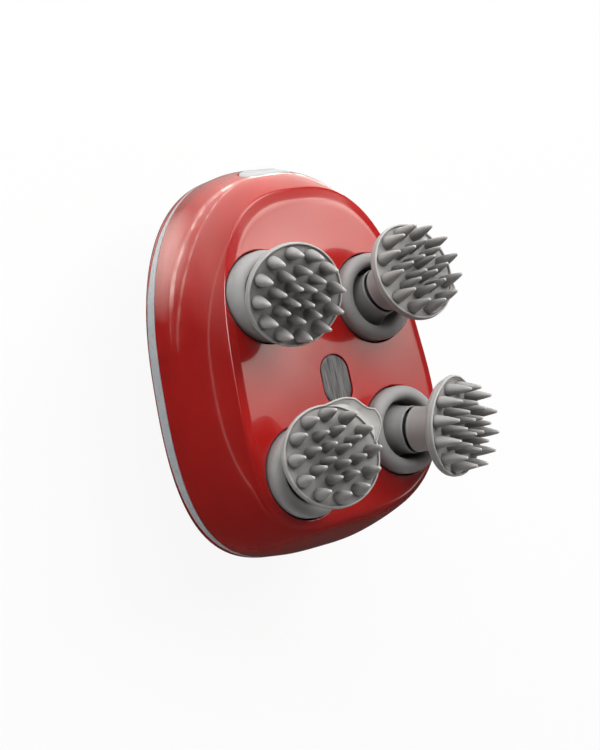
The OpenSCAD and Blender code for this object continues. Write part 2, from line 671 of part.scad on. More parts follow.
motor_boss_r = 3;
worm_bush_r = 3;
module motor() {
    color("silver") translate([0, motor_y, worm_z]) rotate([-90, 0, 0]) difference() {
        union() {
            cylinder(r = motor_r, h = motor_l, $fn = 64);
            translate([0, 0, -1.5]) cylinder(r = motor_boss_r, h = 2, $fn = 48);
            translate([0, 0, motor_l - 0.1]) cylinder(r = 2.5, h = 1, $fn = 32);
            for (side = [-1, 1]) translate([side * 5, 0, motor_l + 0.6]) cube([1, 2.5, 1.4], center = true);
        }
        translate([0, 0, -3]) cylinder(r = motor_shaft_r + running_gap, h = motor_l, $fn = 32);
    }
}
worm_pitch = 2 * PI * wheel_r / wheel_teeth;
module worm_thread(from_y, to_y) {
    count = floor((to_y - from_y) / worm_pitch);
    translate([0, from_y, worm_z]) rotate([-90, 0, 0]) {
        cylinder(r = worm_r - 1.6, h = to_y - from_y, $fn = 32);
        for (k = [0:count - 1]) translate([0, 0, (k + 0.2) * worm_pitch]) {
            cylinder(r1 = worm_r - 1.6, r2 = worm_r - mesh_gap, h = worm_pitch * 0.3, $fn = 32);
            translate([0, 0, worm_pitch * 0.3])
                cylinder(r1 = worm_r - mesh_gap, r2 = worm_r - 1.6, h = worm_pitch * 0.3, $fn = 32);
        }
    }
}
module worm_shaft() {
    start_y = worm_end_y - bearing_t;
    color("goldenrod") union() {
        translate([0, start_y, worm_z]) rotate([-90, 0, 0])
            cylinder(r = motor_shaft_r, h = motor_y + motor_l - 6 - start_y, $fn = 32);
        for (at = [worm_end_y + 1, heads_y + right_row_y - 9])
            worm_thread(at, at + 19);
    }
}
module worm_bush() {
    color("peru") translate([0, worm_end_y - bearing_t, worm_z]) rotate([-90, 0, 0])
        tube(worm_bush_r, motor_shaft_r + running_gap, bearing_t + 0.6);
}

// ---- electrics -----------------------------------------------------------------------------------

module battery() {
    color("seagreen") translate([0, -cell_l / 2, cell_z]) rotate([-90, 0, 0]) {
        cylinder(r = cell_r, h = cell_l, $fn = 64);
        translate([0, 0, cell_l - 0.1]) cylinder(r = 3, h = 1, $fn = 32);
    }
}
tray_w = 16;
tray_rib_y = 15;
tray_rib_t = 3;
tray_rib_h = 9;
module battery_tray() {
    color("gainsboro") difference() {
        union() {
            translate([-tray_w / 2, -tray_rib_y - tray_rib_t / 2, wall])
                cube([tray_w, 2 * tray_rib_y + tray_rib_t, 1.4]);
            for (side = [-1, 1])
                translate([-tray_w / 2, side * tray_rib_y - tray_rib_t / 2, wall])
                    cube([tray_w, tray_rib_t, tray_rib_h]);
        }
        translate([0, -cell_l, cell_z]) rotate([-90, 0, 0])
            cylinder(r = cell_r + fit_gap, h = 2 * cell_l, $fn = 64);
    }
}

board_w = 30;
board_l = 46;
board_y = heads_y - 6.5;                // middle of the main board
board_post_x = board_w / 2 - 3;
board_post_y = board_y - 5;
board_end_y = board_y + board_l / 2;
chip = [4, 5, 1.1];
chip_part = [3, 4, 1.5];
module main_board() {
    color("darkgreen") {
        difference() {
            translate([-board_w / 2, board_y - board_l / 2, board_z]) cube([board_w, board_l, board_top_t]);
            for (side = [-1, 1]) translate([side * board_post_x, board_post_y, board_z - 1])
                cylinder(r = 0.9, h = 4, $fn = 24);
        }
        for (back = [board_l - 4, board_l - 11, 10])
            translate([board_w / 2 - chip[0] - 0.5, board_end_y - back, board_z - chip[2] + 0.1]) cube(chip);
        for (back = [board_l - 8, 6])
            translate([1 - board_w / 2, board_end_y - back, board_z - chip_part[2] + 0.1]) cube(chip_part);
    }
}

module power_button() {
    bow_r = (button_w / 2) * (button_w / 2) / (2 * end_bow);
    color("lightgray") at_button() {
        intersection() {
            translate([0, 0, flange_top]) linear_extrude(2 * button_proud - flange_top)
                pill(button_w, button_h);
            translate([0, -button_w, button_proud - bow_r]) rotate([-90, 0, 0])
                cylinder(r = bow_r, h = 2 * button_w, $fn = 128);
        }
        translate([0, 0, flange_top - flange_t]) linear_extrude(flange_t + 0.1)
            pill(button_w + 2 * flange_over, button_h + 2 * flange_over);
    }
}
module tact_switch() {
    color("dimgray") at_button() {
        translate([-switch_w / 2, -switch_w / 2, switch_body - switch_t])
            cube([switch_w, switch_w, switch_t]);
        translate([0, 0, switch_body - 0.1]) cylinder(r = 1.4, h = switch_top - switch_body + 0.1, $fn = 32);
    }
}
switch_board_w = button_w - 1.4;
switch_board_h = button_h - 0.4;
module switch_board() {
    color("darkgreen") at_button()
        translate([-switch_board_w / 2, -switch_board_h / 2, switch_body - switch_t - board_t])
            cube([switch_board_w, switch_board_h, board_t]);
}

module charge_jack() {
    color("black") translate([0, jack_front, socket_z]) rotate([-90, 0, 0]) difference() {
        union() {
            cylinder(r = jack_nose_r, h = 4, $fn = 48);
            translate([-jack_w / 2, -jack_h / 2, 3]) cube([jack_w, jack_h, socket_depth - 1.5]);
        }
        translate([0, 0, -1]) cylinder(r = socket_r, h = socket_depth + 1, $fn = 48);
    }
}
module port_cover() {
    color("lightgray") at_port() difference() {
        union() {
            translate([0, 0, -cover_thick]) linear_extrude(cover_thick + 0.2) intersection() {
                pill(port_w, port_h);
                translate([-port_w, -port_h / 2 + 0.4]) square([2 * port_w, port_h]);
            }
            at_port_hinge() cylinder(r = knuckle_r, h = knuckle_w, center = true, $fn = 32);
            translate([-knuckle_w / 2, -hinge_drop, -cover_thick]) cube([knuckle_w, 2, cover_thick + 0.2]);
        }
        at_port_hinge() cylinder(r = pin_r + running_gap, h = 2 * knuckle_w, center = true, $fn = 32);
    }
}
module port_pin() {
    color("silver") at_port() at_port_hinge() cylinder(r = pin_r, h = knuckle_w + 4, center = true, $fn = 32);
}

// Insulated leads, each a chain of round lengths with rounded corners
module lead(points, r) {
    knot_r = r * 1.06;
    for (k = [0:len(points) - 2]) {
        a = points[k];
        b = points[k + 1];
        d = b - a;
        translate(a) sphere(r = knot_r, $fn = 16);
        translate(a) rotate([0, acos(d[2] / norm(d)), atan2(d[1], d[0])])
            cylinder(r = r, h = norm(d), $fn = 16);
    }
}
lead_r = 0.6;
cell_tab = [2, 4];                      // where a battery lead starts, from the cell's axis
battery_pad_x = 4;                      // where it ends on the board
module battery_leads() {
    end_y = cell_l / 2;
    for (side = [-1, 1]) color(side > 0 ? "red" : "black")
        lead([[side * cell_tab[0], end_y + lead_r + 0.1, cell_z + cell_tab[1]],
              [side * (cell_tab[0] + 1), end_y + 2, board_z - 0.1],
              [side * battery_pad_x, board_end_y + 6, board_z + 0.5],
              [side * battery_pad_x, board_end_y + lead_r, board_z + 0.6]], lead_r);
}
motor_tab_x = 7;
motor_pad_x = 9.6;
motor_lead_bend = [3, 5];               // how far back and down the leads turn behind the motor
motor_lead_rise = 16;                   // how far from the board they come down
module motor_leads() {
    end_y = motor_y + motor_l + 2;
    for (side = [-1, 1]) color("red")
        lead([[side * motor_tab_x, end_y, worm_z],
              [side * motor_pad_x, end_y - motor_lead_bend[0], worm_z - motor_lead_bend[1]],
              [side * motor_pad_x, board_end_y + motor_lead_rise, cover_z - 2],
              [side * motor_pad_x, board_end_y + lead_r, board_z + 0.6]], lead_r);
}

front_shell();
rear_shell();
trim_band();
center_inlay();
center_screw();
case_screws();
shaft_seals();
gearbox_frame();
gearbox_cover();
gearbox_screws();
upper_bushes();
lower_bushes();
motor();
worm_shaft();
worm_bush();
battery();
battery_tray();
main_board();
switch_board();
tact_switch();
power_button();
charge_jack();
port_cover();
port_pin();
battery_leads();
motor_leads();
for (i = [0:3]) {
    spindle(i);
    worm_wheel(i);
    cup(i);
    head(i);
    spindle_clip(i);
}
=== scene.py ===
"""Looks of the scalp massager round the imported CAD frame.

Shapes are worked out in millimetres in the CAD frame, and make() turns them into metres.
"""
import json
import math

import bmesh
import bpy
import numpy as np
from mathutils import Matrix, Vector


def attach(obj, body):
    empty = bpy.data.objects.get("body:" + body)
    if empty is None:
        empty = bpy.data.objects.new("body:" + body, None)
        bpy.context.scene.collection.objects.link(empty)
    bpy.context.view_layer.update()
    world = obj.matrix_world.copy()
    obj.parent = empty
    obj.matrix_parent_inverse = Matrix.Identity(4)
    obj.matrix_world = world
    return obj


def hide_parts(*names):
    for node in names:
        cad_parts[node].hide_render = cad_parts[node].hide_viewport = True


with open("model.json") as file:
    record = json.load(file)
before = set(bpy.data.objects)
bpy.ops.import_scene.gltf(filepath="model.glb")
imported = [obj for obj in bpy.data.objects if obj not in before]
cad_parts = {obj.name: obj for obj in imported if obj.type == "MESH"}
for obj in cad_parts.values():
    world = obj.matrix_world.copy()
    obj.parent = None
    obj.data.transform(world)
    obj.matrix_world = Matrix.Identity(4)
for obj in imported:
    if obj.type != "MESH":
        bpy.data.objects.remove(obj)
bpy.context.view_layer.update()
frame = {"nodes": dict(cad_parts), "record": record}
MM = 0.001

# ---- sizes in millimetres, the main ones the same as in the CAD model ----------------------------

HALF_W, HALF_L, BODY_H, SHOULDER_H = 40.8, 56.3, 57.0, 24.0
WAIST = BODY_H - SHOULDER_H
WALL = 2.2
FACE_IN = BODY_H - WALL
INSET_SIDE, INSET_BUTTON, INSET_SOCKET = 6.6, 10.6, 6.6
BUTTON_POWER, SOCKET_POWER, FACE_BUTTON_POWER, FACE_SOCKET_POWER = 2.35, 2.7, 2.75, 3.4
CREST_SIDE_H, CREST_BUTTON_H, CREST_SIDE_SHARE, CREST_BUTTON_SHARE = 5.0, 16.2, 0.09, 0.42
TAPER, KEYSTONE, REST_SHARE = 0.1, 0.11, 0.32
SEAM = WAIST - 5.3
TRIM_H, TRIM_END_H = 4.0, 0.8
TURN_Z = SEAM - TRIM_H / 2
BACK_SIDE_POWER, BACK_END_POWER = 1.2, 2.0

HEADS_Y = -8.5
# Each rotor's axis x and y, how its neck leans and how its soft disc leans (towards which azimuth,
# by how many degrees), and how far its spikes are turned. The leans and turns are the scene's own.
ROTORS = {
    "left_top": (-18.7, 16.4, (213.4, 13.7), (231.6, 20.5), 32.0),
    "right_top": (18.7, 11.2, (60.0, 13.6), (77.7, 7.0), 36.0),
    "left_low": (-18.7, -33.4, (138.3, 14.2), (159.5, 13.7), 24.5),
    "right_low": (18.7, -28.2, (336.7, 17.9), (330.2, 18.8), 43.6),
}
OPENING_R, CUP_R, CUP_MOUTH_R, CUP_RISE = 13.2, 12.8, 8.6, 3.8
HUB_Z = BODY_H - 6.5
PIVOT_Z = BODY_H - 0.6
HEAD_REACH, HEAD_R, NECK_R, NECK_LIP = 19.5, 14.1, 6.5, 6.0
DISC_T, RIM_DEPTH = 2.6, 0.6
DISC_BACK, DISC_FLOOR = HEAD_REACH - DISC_T, HEAD_REACH - RIM_DEPTH
# Height of the fine ridge round the disc's edge, which is a look only
RIDGE_Z = DISC_BACK + 1.35
SPIKE_L, SPIKE_TIP_R = 7.9, 0.5
# Rings of spikes: how many, at what radius, and the radius of each foot; a little wider than in the CAD
SPIKE_RINGS = ((12, 11.2, 1.85), (8, 6.6, 1.5), (4, 2.9, 1.4))

CASE_POSTS = ((-32.2, HEADS_Y), (32.2, HEADS_Y), (-22.4, 38.0), (22.4, 38.0))
POST_R = 3.2
# Radii of the holes for a case screw's thread, shank and head, for the jack's nose and for the hinge
# pin, in the case and in the cover
THREAD_R, SHANK_R, SCREW_HEAD_R = 1.05, 1.4, 2.7
JACK_NOSE_R, PIN_IN_CASE_R, PIN_IN_COVER_R = 2.95, 0.5, 0.55
BUTTON_Z, BUTTON_W, BUTTON_H = WAIST + 12, 17.4, 8.0
SOCKET_Z, PORT_W, PORT_H, PORT_GAP = SEAM - 8, 15.0, 8.4, 0.3
HINGE_DROP, HINGE_DEPTH, KNUCKLE_R, KNUCKLE_W = PORT_H / 2 + 0.9, 0.7, 0.85, 6.0

# The insert is a little smaller than in the CAD model, and lies further to the left and lower down
INLAY_W, INLAY_L, INLAY_T, INLAY_GAP = 9.9, 14.6, 0.9, 0.22
INLAY_X, INLAY_Y = -0.6, HEADS_Y - 1.7


# ---- the form of the case ------------------------------------------------------------------------

# How far the broad shoulder bends, where 0 is straight
FACET_BOW = 0.3
# Where the shoulder's rows begin above the lower crease, as a share of its height
FACET_FROM = 0.08


def signed_power(v, p):
    return np.sign(v) * np.abs(v) ** p


def crest_mix(t):
    """0 round the sides and the socket end, rising to 1 at the button end."""
    return np.clip(np.sin(t), 0, None) ** 4


def crest_z(t):
    return WAIST + CREST_SIDE_H + (CREST_BUTTON_H - CREST_SIDE_H) * crest_mix(t)


def crest_share(t):
    return CREST_SIDE_SHARE + (CREST_BUTTON_SHARE - CREST_SIDE_SHARE) * crest_mix(t)


def plan(t, lift, z, off=0.0, share=1.0):
    """Points round the case at angles t, where lift is 0 at the widest ring and 1 at the face's edge."""
    s, c = np.sin(t), np.cos(t)
    full = np.clip(lift, 0, 1)
    button = s > 0
    power = 2 / np.where(
        button,
        BUTTON_POWER + (FACE_BUTTON_POWER - BUTTON_POWER) * full,
        SOCKET_POWER + (FACE_SOCKET_POWER - SOCKET_POWER) * full,
    )
    x, y = signed_power(c, power), signed_power(s, power)
    slant = np.where(y < 0, 1 - KEYSTONE * x * np.abs(x), 1)
    inset = np.where(button, INSET_BUTTON, INSET_SOCKET)
    return np.stack(
        [
            (HALF_W - INSET_SIDE * lift - off) * share * x * (1 - TAPER * y),
            (HALF_L - inset * lift - off) * share * y * slant,
            np.broadcast_to(z, t.shape).astype(float),
        ],
        axis=-1,
    )


def flank(t, z, off=0.0):
    """The steep side between the widest ring and the lower crease."""
    rise = np.clip((z - WAIST) / (crest_z(t) - WAIST), 0, None)
    return plan(t, crest_share(t) * rise**1.7, z, off)


def facet(t, v, top, off=0.0):
    """The broad shoulder from the lower crease (v 0) to the crease at the face (v 1)."""
    low = crest_share(t)
    bent = (1 - FACET_BOW) * v + FACET_BOW * v * v
    return plan(t, low + (1 - low) * bent, crest_z(t) + (top - crest_z(t)) * v, off)


def back(t, z, off=0.0):
    """The round back below the widest ring, down to the small flat that it rests on."""
    fall = np.clip((TURN_Z - z) / (TURN_Z - off), 0, 1)
    power = BACK_END_POWER + (BACK_SIDE_POWER - BACK_END_POWER) * np.abs(np.cos(t))
    return plan(t, 0 * t, z, off, REST_SHARE + (1 - REST_SHARE) * (1 - fall**power) ** (1 / power))


def wall_at(t, z, off=0.0):
    """The case's surface at height z, above or below the widest ring."""
    return np.where((z > WAIST + 0 * t)[:, None], flank(t, z, off), back(t, z, off))


def band_half(t):
    """Half the height of the trim band, tall at the sides and low at the ends."""
    return (TRIM_END_H + (TRIM_H - TRIM_END_H) * np.abs(np.cos(t)) ** 2.2) / 2


def even_angles(n):
    """Angles that lie evenly along the outline of the case."""
    t = np.linspace(0, 2 * math.pi, 20001)
    p = plan(t, 0.3 + 0 * t, 0.0)
    run = np.concatenate([[0], np.cumsum(np.linalg.norm(np.diff(p, axis=0), axis=1))])
    return np.interp(np.arange(n) * run[-1] / n, run, t)


def eased(n):
    """n shares from 0 to 1 that lie closer together towards 1, for rows down the round back."""
    return [math.sin(v) ** 1.4 for v in np.linspace(0, math.pi / 2, n)]


def unit(v):
    return v / np.linalg.norm(v, axis=-1, keepdims=True)


def bezier(a, corner, b, n):
    """Rows of points that round a corner, from a to b."""
    return [(1 - s) ** 2 * a + 2 * s * (1 - s) * corner + s * s * b for s in np.linspace(0, 1, n)]


# ---- mesh helpers --------------------------------------------------------------------------------

def raw(name, verts, faces):
    mesh = bpy.data.meshes.new(name)
    mesh.from_pydata([tuple(v) for v in verts], [], faces)
    mesh.validate()
    obj = bpy.data.objects.new(name, mesh)
    bpy.context.collection.objects.link(obj)
    return obj


def loft(name, rows, loop=False):
    """A skin over closed rows of points, closed by a face at each end or joined into a loop."""
    n, m = len(rows[0]), len(rows)
    faces = []
    for r in range(m if loop else m - 1):
        a, b = r * n, (r + 1) % m * n
        faces += [(a + k, a + (k + 1) % n, b + (k + 1) % n, b + k) for k in range(n)]
    if not loop:
        faces.append(tuple(range(n - 1, -1, -1)))
        faces.append(tuple(range((m - 1) * n, m * n)))
    return raw(name, np.concatenate(rows), faces)


def hollow_half(name, outer, inner, upwards):
    """Half a case: outer rows from the seam to the middle, inner rows back, and a face on each middle."""
    n, m, rows = len(outer[0]), len(outer), outer + inner
    faces = []
    for r in range(len(rows)):
        if r == m - 1:
            continue
        a, b = r * n, (r + 1) % len(rows) * n
        for k in range(n):
            i, j = (k, (k + 1) % n) if upwards else ((k + 1) % n, k)
            faces.append((a + i, a + j, b + j, b + i))
    outside, inside = tuple(range((m - 1) * n, m * n)), tuple(range(m * n, (m + 1) * n))
    faces += [outside, inside[::-1]] if upwards else [outside[::-1], inside]
    return raw(name, np.concatenate(rows), faces)


def lathe(name, profile, n):
    """A solid turned about Z from (r, z) points that run upwards on the outside.

    The profile ends on the axis at both ends, or is a closed loop clear of the axis.
    """
    a = np.arange(n) * 2 * math.pi / n
    ring = np.stack([np.cos(a), np.sin(a)], axis=-1)
    verts, starts = [], []
    for r, z in profile:
        starts.append((len(verts), r < 1e-6))
        verts += [(0, 0, z)] if r < 1e-6 else [(x * r, y * r, z) for x, y in ring]
    on_axis = starts[0][1]
    pairs = list(zip(starts, starts[1:])) + ([] if on_axis else [(starts[-1], starts[0])])
    faces = []
    for (low, low_is_tip), (high, high_is_tip) in pairs:
        for k in range(n):
            j = (k + 1) % n
            if low_is_tip:
                faces.append((low, high + j, high + k))
            elif high_is_tip:
                faces.append((low + k, low + j, high))
            else:
                faces.append((low + k, low + j, high + j, high + k))
    return raw(name, verts, faces)


def arc(cx, cy, r, start, end, n):
    """n points on an arc, from start to end degrees."""
    angles = np.radians(np.linspace(start, end, n))
    return [(cx + r * math.cos(a), cy + r * math.sin(a)) for a in angles]


def pill_points(w, h, n):
    """Outline of a pill that is w along X and h along Y."""
    r, c = h / 2, (w - h) / 2
    a = np.linspace(-math.pi / 2, math.pi / 2, n + 1)
    right = np.stack([c + r * np.cos(a), r * np.sin(a)], axis=-1)
    return np.concatenate([right, -right])


def pill_solid(name, w, h, steps, n=24):
    """A pill built up from (grow, z) steps, closed at both ends."""
    rows = []
    for grow, z in steps:
        outline = pill_points(w + 2 * grow, h + 2 * grow, n)
        rows.append(np.c_[outline, np.full(len(outline), z)])
    return loft(name, rows)


def block(x0, x1, y0, y1, z0, z1):
    corners = [(x0, y0), (x1, y0), (x1, y1), (x0, y1)]
    return loft("block", [np.array([(x, y, z) for x, y in corners]) for z in (z0, z1)])


def rod(radius, low, high, n=48):
    return lathe("rod", [(0, low), (radius, low), (radius, high), (0, high)], n)


def placed(obj, matrix):
    obj.data.transform(matrix)
    return obj


def combine(obj, others, how):
    """Adds other closed solids to obj, cuts them out of it or keeps what they share with it."""
    for other in others:
        step = obj.modifiers.new("combine", "BOOLEAN")
        step.operation, step.solver, step.object = how, "MANIFOLD", other
        bpy.context.view_layer.update()
        mesh = bpy.data.meshes.new_from_object(obj.evaluated_get(bpy.context.evaluated_depsgraph_get()))
        obj.modifiers.clear()
        old, obj.data = obj.data, mesh
        bpy.data.meshes.remove(old)
        bpy.data.objects.remove(other)
    return obj


def tidy_mesh(mesh, near=0.0015):
    """Joins points that a boolean left almost on top of each other and drops faces without area."""
    bm = bmesh.new()
    bm.from_mesh(mesh)
    bmesh.ops.remove_doubles(bm, verts=bm.verts, dist=near)
    bmesh.ops.dissolve_degenerate(bm, edges=bm.edges, dist=near)
    bmesh.ops.triangulate(bm, faces=[f for f in bm.faces if len(f.verts) > 4])
    bm.to_mesh(mesh)
    bm.free()


def make(obj, body, material, node, angle=32):
    """Finishes a piece: metres, smooth shading with sharp edges, material, body and the CAD node."""
    tidy_mesh(obj.data)
    obj.data.transform(Matrix.Scale(MM, 4))
    obj.data.shade_smooth()
    obj.data.set_sharp_from_angle(angle=math.radians(angle))
    step = obj.modifiers.new("face_weights", "WEIGHTED_NORMAL")
    step.keep_sharp, step.weight, step.mode = True, 80, "FACE_AREA"
    obj.data.materials.clear()
    obj.data.materials.append(material)
    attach(obj, body)
    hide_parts(node)


# ---- materials -----------------------------------------------------------------------------------

WHITE, WARM = (1, 1, 1, 1), (1, 0.96, 0.88, 1)


def srgb(*levels):
    """The linear colour of three 8-bit levels."""
    shares = (level / 255 for level in levels)
    return tuple(v / 12.92 if v <= 0.04045 else ((v + 0.055) / 1.055) ** 2.4 for v in shares)


def scaled(colour, share):
    return tuple(min(1, c * share) for c in colour)


class Finish:
    """A material under construction, with short calls for its nodes."""

    def __init__(self, name, **sockets):
        self.material = bpy.data.materials.new(name)
        self.material.use_nodes = True
        self.tree = self.material.node_tree
        self.shader = self.tree.nodes["Principled BSDF"]
        for key, value in sockets.items():
            self.shader.inputs[key.replace("_", " ")].default_value = value
        self.coords = self.tree.nodes.new("ShaderNodeTexCoord").outputs["Object"]
        self.normal = None

    def add(self, kind, **settings):
        node = self.tree.nodes.new(kind)
        for key, value in settings.items():
            setattr(node, key, value)
        return node

    def link(self, source, target):
        self.tree.links.new(source, target)
        return self

    def place(self):
        """The X, Y and Z of the point."""
        node = self.add("ShaderNodeSeparateXYZ")
        self.link(self.coords, node.inputs[0])
        return node.outputs

    def stretched(self, scale):
        node = self.add("ShaderNodeMapping")
        node.inputs["Scale"].default_value = scale
        self.link(self.coords, node.inputs["Vector"])
        return node.outputs["Vector"]

    def noise(self, scale, detail=2.0, rough=0.5, vector=None):
        node = self.add("ShaderNodeTexNoise")
        node.inputs["Scale"].default_value = scale
        node.inputs["Detail"].default_value = detail
        node.inputs["Roughness"].default_value = rough
        self.link(vector or self.coords, node.inputs["Vector"])
        return node.outputs["Fac"]

    def ramp(self, source, low, low_colour, high, high_colour):
        """Runs from one colour to another as source goes from low to high."""
        node = self.add("ShaderNodeValToRGB")
        stops = ((low, low_colour), (high, high_colour))
        for element, (at, colour) in zip(node.color_ramp.elements, stops):
            element.position, element.color = at, (*colour, 1)
        self.link(source, node.inputs["Fac"])
        return node.outputs["Color"]

    def spread(self, source, low, high, out_low, out_high, smooth=False):
        """Maps low to high onto out_low to out_high, and holds the value beyond them."""
        node = self.add("ShaderNodeMapRange", interpolation_type="SMOOTHSTEP" if smooth else "LINEAR")
        for key, value in zip(("From Min", "From Max", "To Min", "To Max"), (low, high, out_low, out_high)):
            node.inputs[key].default_value = value
        self.link(source, node.inputs["Value"])
        return node.outputs["Result"]

    def maths(self, operation, a, b=None):
        """A math node on the output a and on b, which is an output, a number or left out."""
        node = self.add("ShaderNodeMath", operation=operation)
        self.link(a, node.inputs[0])
        if isinstance(b, (int, float)):
            node.inputs[1].default_value = b
        elif b is not None:
            self.link(b, node.inputs[1])
        return node.outputs[0]

    def plus(self, a, b):
        return self.maths("ADD", a, b)

    def times(self, a, b):
        return self.maths("MULTIPLY", a, b)

    def size(self, a):
        return self.maths("ABSOLUTE", a)

    def far_from(self, centre, scale):
        """Distance from a point, with each axis scaled."""
        node = self.add("ShaderNodeVectorMath", operation="DISTANCE")
        node.inputs[1].default_value = centre
        self.link(self.stretched(scale), node.inputs[0])
        return node.outputs["Value"]

    def near(self, source, middle, full, none, strength):
        """A soft line: strength within full of the middle value, fading to 0 at none from it."""
        return self.spread(self.size(self.plus(source, -middle)), full, none, strength, 0.0)

    def mix(self, share, a, b):
        """Mixes two colours; each is a colour or an output."""
        node = self.add("ShaderNodeMix", data_type="RGBA")
        for value, target in ((a, node.inputs[6]), (b, node.inputs[7])):
            if isinstance(value, tuple):
                target.default_value = (*value, 1)
            else:
                self.link(value, target)
        self.link(share, node.inputs[0])
        return node.outputs[2]

    def shaded(self, colour, shade):
        """Darkens a colour output by the colour output shade."""
        node = self.add("ShaderNodeMix", data_type="RGBA", blend_type="MULTIPLY")
        node.inputs[0].default_value = 1.0
        self.link(colour, node.inputs[6]).link(shade, node.inputs[7])
        return node.outputs[2]

    def emission(self, tint, strength=None):
        node = self.add("ShaderNodeEmission")
        node.inputs["Color"].default_value = tint
        if strength is not None:
            self.link(strength, node.inputs["Strength"])
        return node.outputs[0]

    def colour(self, source):
        return self.link(source, self.shader.inputs["Base Color"])

    def roughness(self, source):
        return self.link(source, self.shader.inputs["Roughness"])

    def surface(self, source):
        return self.link(source, self.tree.nodes["Material Output"].inputs["Surface"])

    def bump(self, source, height_mm, strength=1.0):
        """Adds a bump on top of those before it."""
        node = self.add("ShaderNodeBump")
        node.inputs["Distance"].default_value = height_mm * MM
        node.inputs["Strength"].default_value = strength
        self.link(source, node.inputs["Height"])
        if self.normal is not None:
            self.link(self.normal, node.inputs["Normal"])
        self.normal = node.outputs["Normal"]
        return self.link(self.normal, self.shader.inputs["Normal"])


def glossy_red():
    """Deep red moulded gloss with faint orange peel and a few hairline marks."""
    f = Finish("shell_red_gloss", Coat_Weight=1.0, Coat_Roughness=0.03, Specular_IOR_Level=0.5)
    f.colour(f.ramp(f.noise(60, 3), 0.35, srgb(176, 12, 8), 0.65, srgb(186, 16, 11)))
    f.roughness(f.spread(f.noise(900, 3), 0.3, 0.7, 0.16, 0.24))
    f.bump(f.noise(420, 2), 0.0035)
    marks = f.noise(90, 4, 0.6, f.stretched((14, 1, 1)))
    f.bump(f.spread(marks, 0.62, 0.7, 0, 1), 0.0012, 0.6)
    return f.material


def satin(name, colour, rough):
    """Moulded plastic with a fine grain and a slight unevenness of colour."""
    f = Finish(name)
    f.colour(f.ramp(f.noise(120, 4, 0.6), 0.3, scaled(colour, 0.96), 0.7, colour))
    f.roughness(f.spread(f.noise(700, 3), 0.3, 0.7, rough - 0.05, rough + 0.06))
    f.bump(f.noise(2600, 2), 0.004)
    return f.material


def brushed(name, colour, rough, along=(1, 60, 60), vary=0.22):
    """Metal with fine streaks along the axis whose scale is the smallest."""
    f = Finish(name, Metallic=1.0)
    streak = f.noise(120, 6, 0.7, f.stretched(along))
    f.colour(f.ramp(streak, 0.3, scaled(colour, 1 - vary), 0.7, scaled(colour, 1 + 0.7 * vary)))
    f.roughness(f.spread(streak, 0.3, 0.7, rough - 0.08, rough + 0.1))
    f.bump(streak, 0.006)
    return f.material


def silicone(name, base, pale):
    """Matte silicone: fine grain, dust specks, painted shade in its crevices, and paler tips from the tip
    attribute.
    """
    f = Finish(name, Specular_IOR_Level=0.42, Sheen_Weight=0.12, Sheen_Roughness=0.4)
    cloudy = f.ramp(f.noise(160, 4, 0.6), 0.3, scaled(base, 0.94), 0.7, scaled(base, 1.05))
    tip = f.add("ShaderNodeAttribute", attribute_name="tip").outputs["Fac"]
    cells = f.add("ShaderNodeTexVoronoi")
    cells.inputs["Scale"].default_value = 420
    f.link(f.coords, cells.inputs["Vector"])
    dots = f.spread(cells.outputs["Distance"], 0.05, 0.09, 1, 0)
    rare = f.spread(f.noise(230, 1), 0.66, 0.68, 0, 0.55)
    dusty = f.mix(f.times(dots, rare), f.mix(tip, cloudy, pale), pale)
    # Painted shade: ambient occlusion darkens the colour in crevices and hollows, such as between the
    # spikes and deep in the cups
    painted_crevice_shade = f.add("ShaderNodeAmbientOcclusion", samples=8)
    painted_crevice_shade.inputs["Distance"].default_value = 0.009
    shade = f.ramp(painted_crevice_shade.outputs["AO"], 0.15, (0.42, 0.41, 0.40), 0.75, (1, 1, 1))
    f.colour(f.shaded(dusty, shade))
    f.roughness(f.spread(f.noise(1100, 3), 0.3, 0.7, 0.46, 0.58))
    f.bump(f.noise(1500, 3), 0.012)
    return f.material


RED = glossy_red()
TRIM = satin("trim_gray_satin", srgb(196, 202, 205), 0.3)
BUTTON = satin("button_gray_satin", srgb(186, 190, 192), 0.34)
CUP = silicone("cup_silicone_gray", srgb(165, 165, 164), srgb(204, 203, 200))
HEAD = silicone("head_silicone_gray", srgb(170, 168, 166), srgb(206, 203, 198))
INLAY = brushed("inlay_brushed", srgb(124, 124, 128), 0.38, (12, 0.9, 12), 0.85)
SLOT_FINISHES = {
    "screw_steel": brushed("zinc_steel", srgb(190, 190, 192), 0.35),
    "black_rubber": silicone("seal_rubber", srgb(38, 38, 38), srgb(60, 60, 60)),
    "white_plastic": satin("acetal_white", srgb(228, 226, 216), 0.42),
    "rotor_plastic": satin("nylon_gray", srgb(74, 74, 76), 0.45),
    "bronze": brushed("sintered_bronze", srgb(176, 128, 70), 0.45),
    "worm_brass": brushed("turned_brass", srgb(208, 172, 92), 0.25, (60, 1, 60)),
    "motor_steel": brushed("motor_can", srgb(196, 196, 198), 0.28, (60, 1, 60)),
    "cell_wrap": satin("cell_wrap_green", srgb(40, 130, 104), 0.25),
    "board_green": satin("solder_mask", srgb(16, 92, 48), 0.22),
    "black_plastic": satin("black_moulded", srgb(34, 34, 35), 0.4),
    "lead_red": satin("lead_insulation", srgb(176, 28, 22), 0.45),
    "shell_red": RED,
    "trim_gray": TRIM,
    "button_gray": BUTTON,
    "cup_silicone": CUP,
    "head_silicone": HEAD,
    "inlay_metal": INLAY,
}
for part in frame["record"]["subparts"]:
    node = frame["nodes"][part["node"]]
    node.data.materials.clear()
    node.data.materials.append(SLOT_FINISHES[part["material_slot"]])

# ---- case halves and trim ------------------------------------------------------------------------

# Angles of the points round the case
T = even_angles(256)
SEAM_GAP = 0.12
# (distance from the seam, inset) steps of the small rounding beside the trim band
SEAM_ROUND = 0.3
SEAM_EDGE = ((0, 0.3), (0.04, 0.12), (0.14, 0.03), (SEAM_ROUND, 0))
# The lower crease is cut flat this far on each side, and both new edges are softened
CREASE_CUT, CREASE_SOFT = 0.8, 0.22
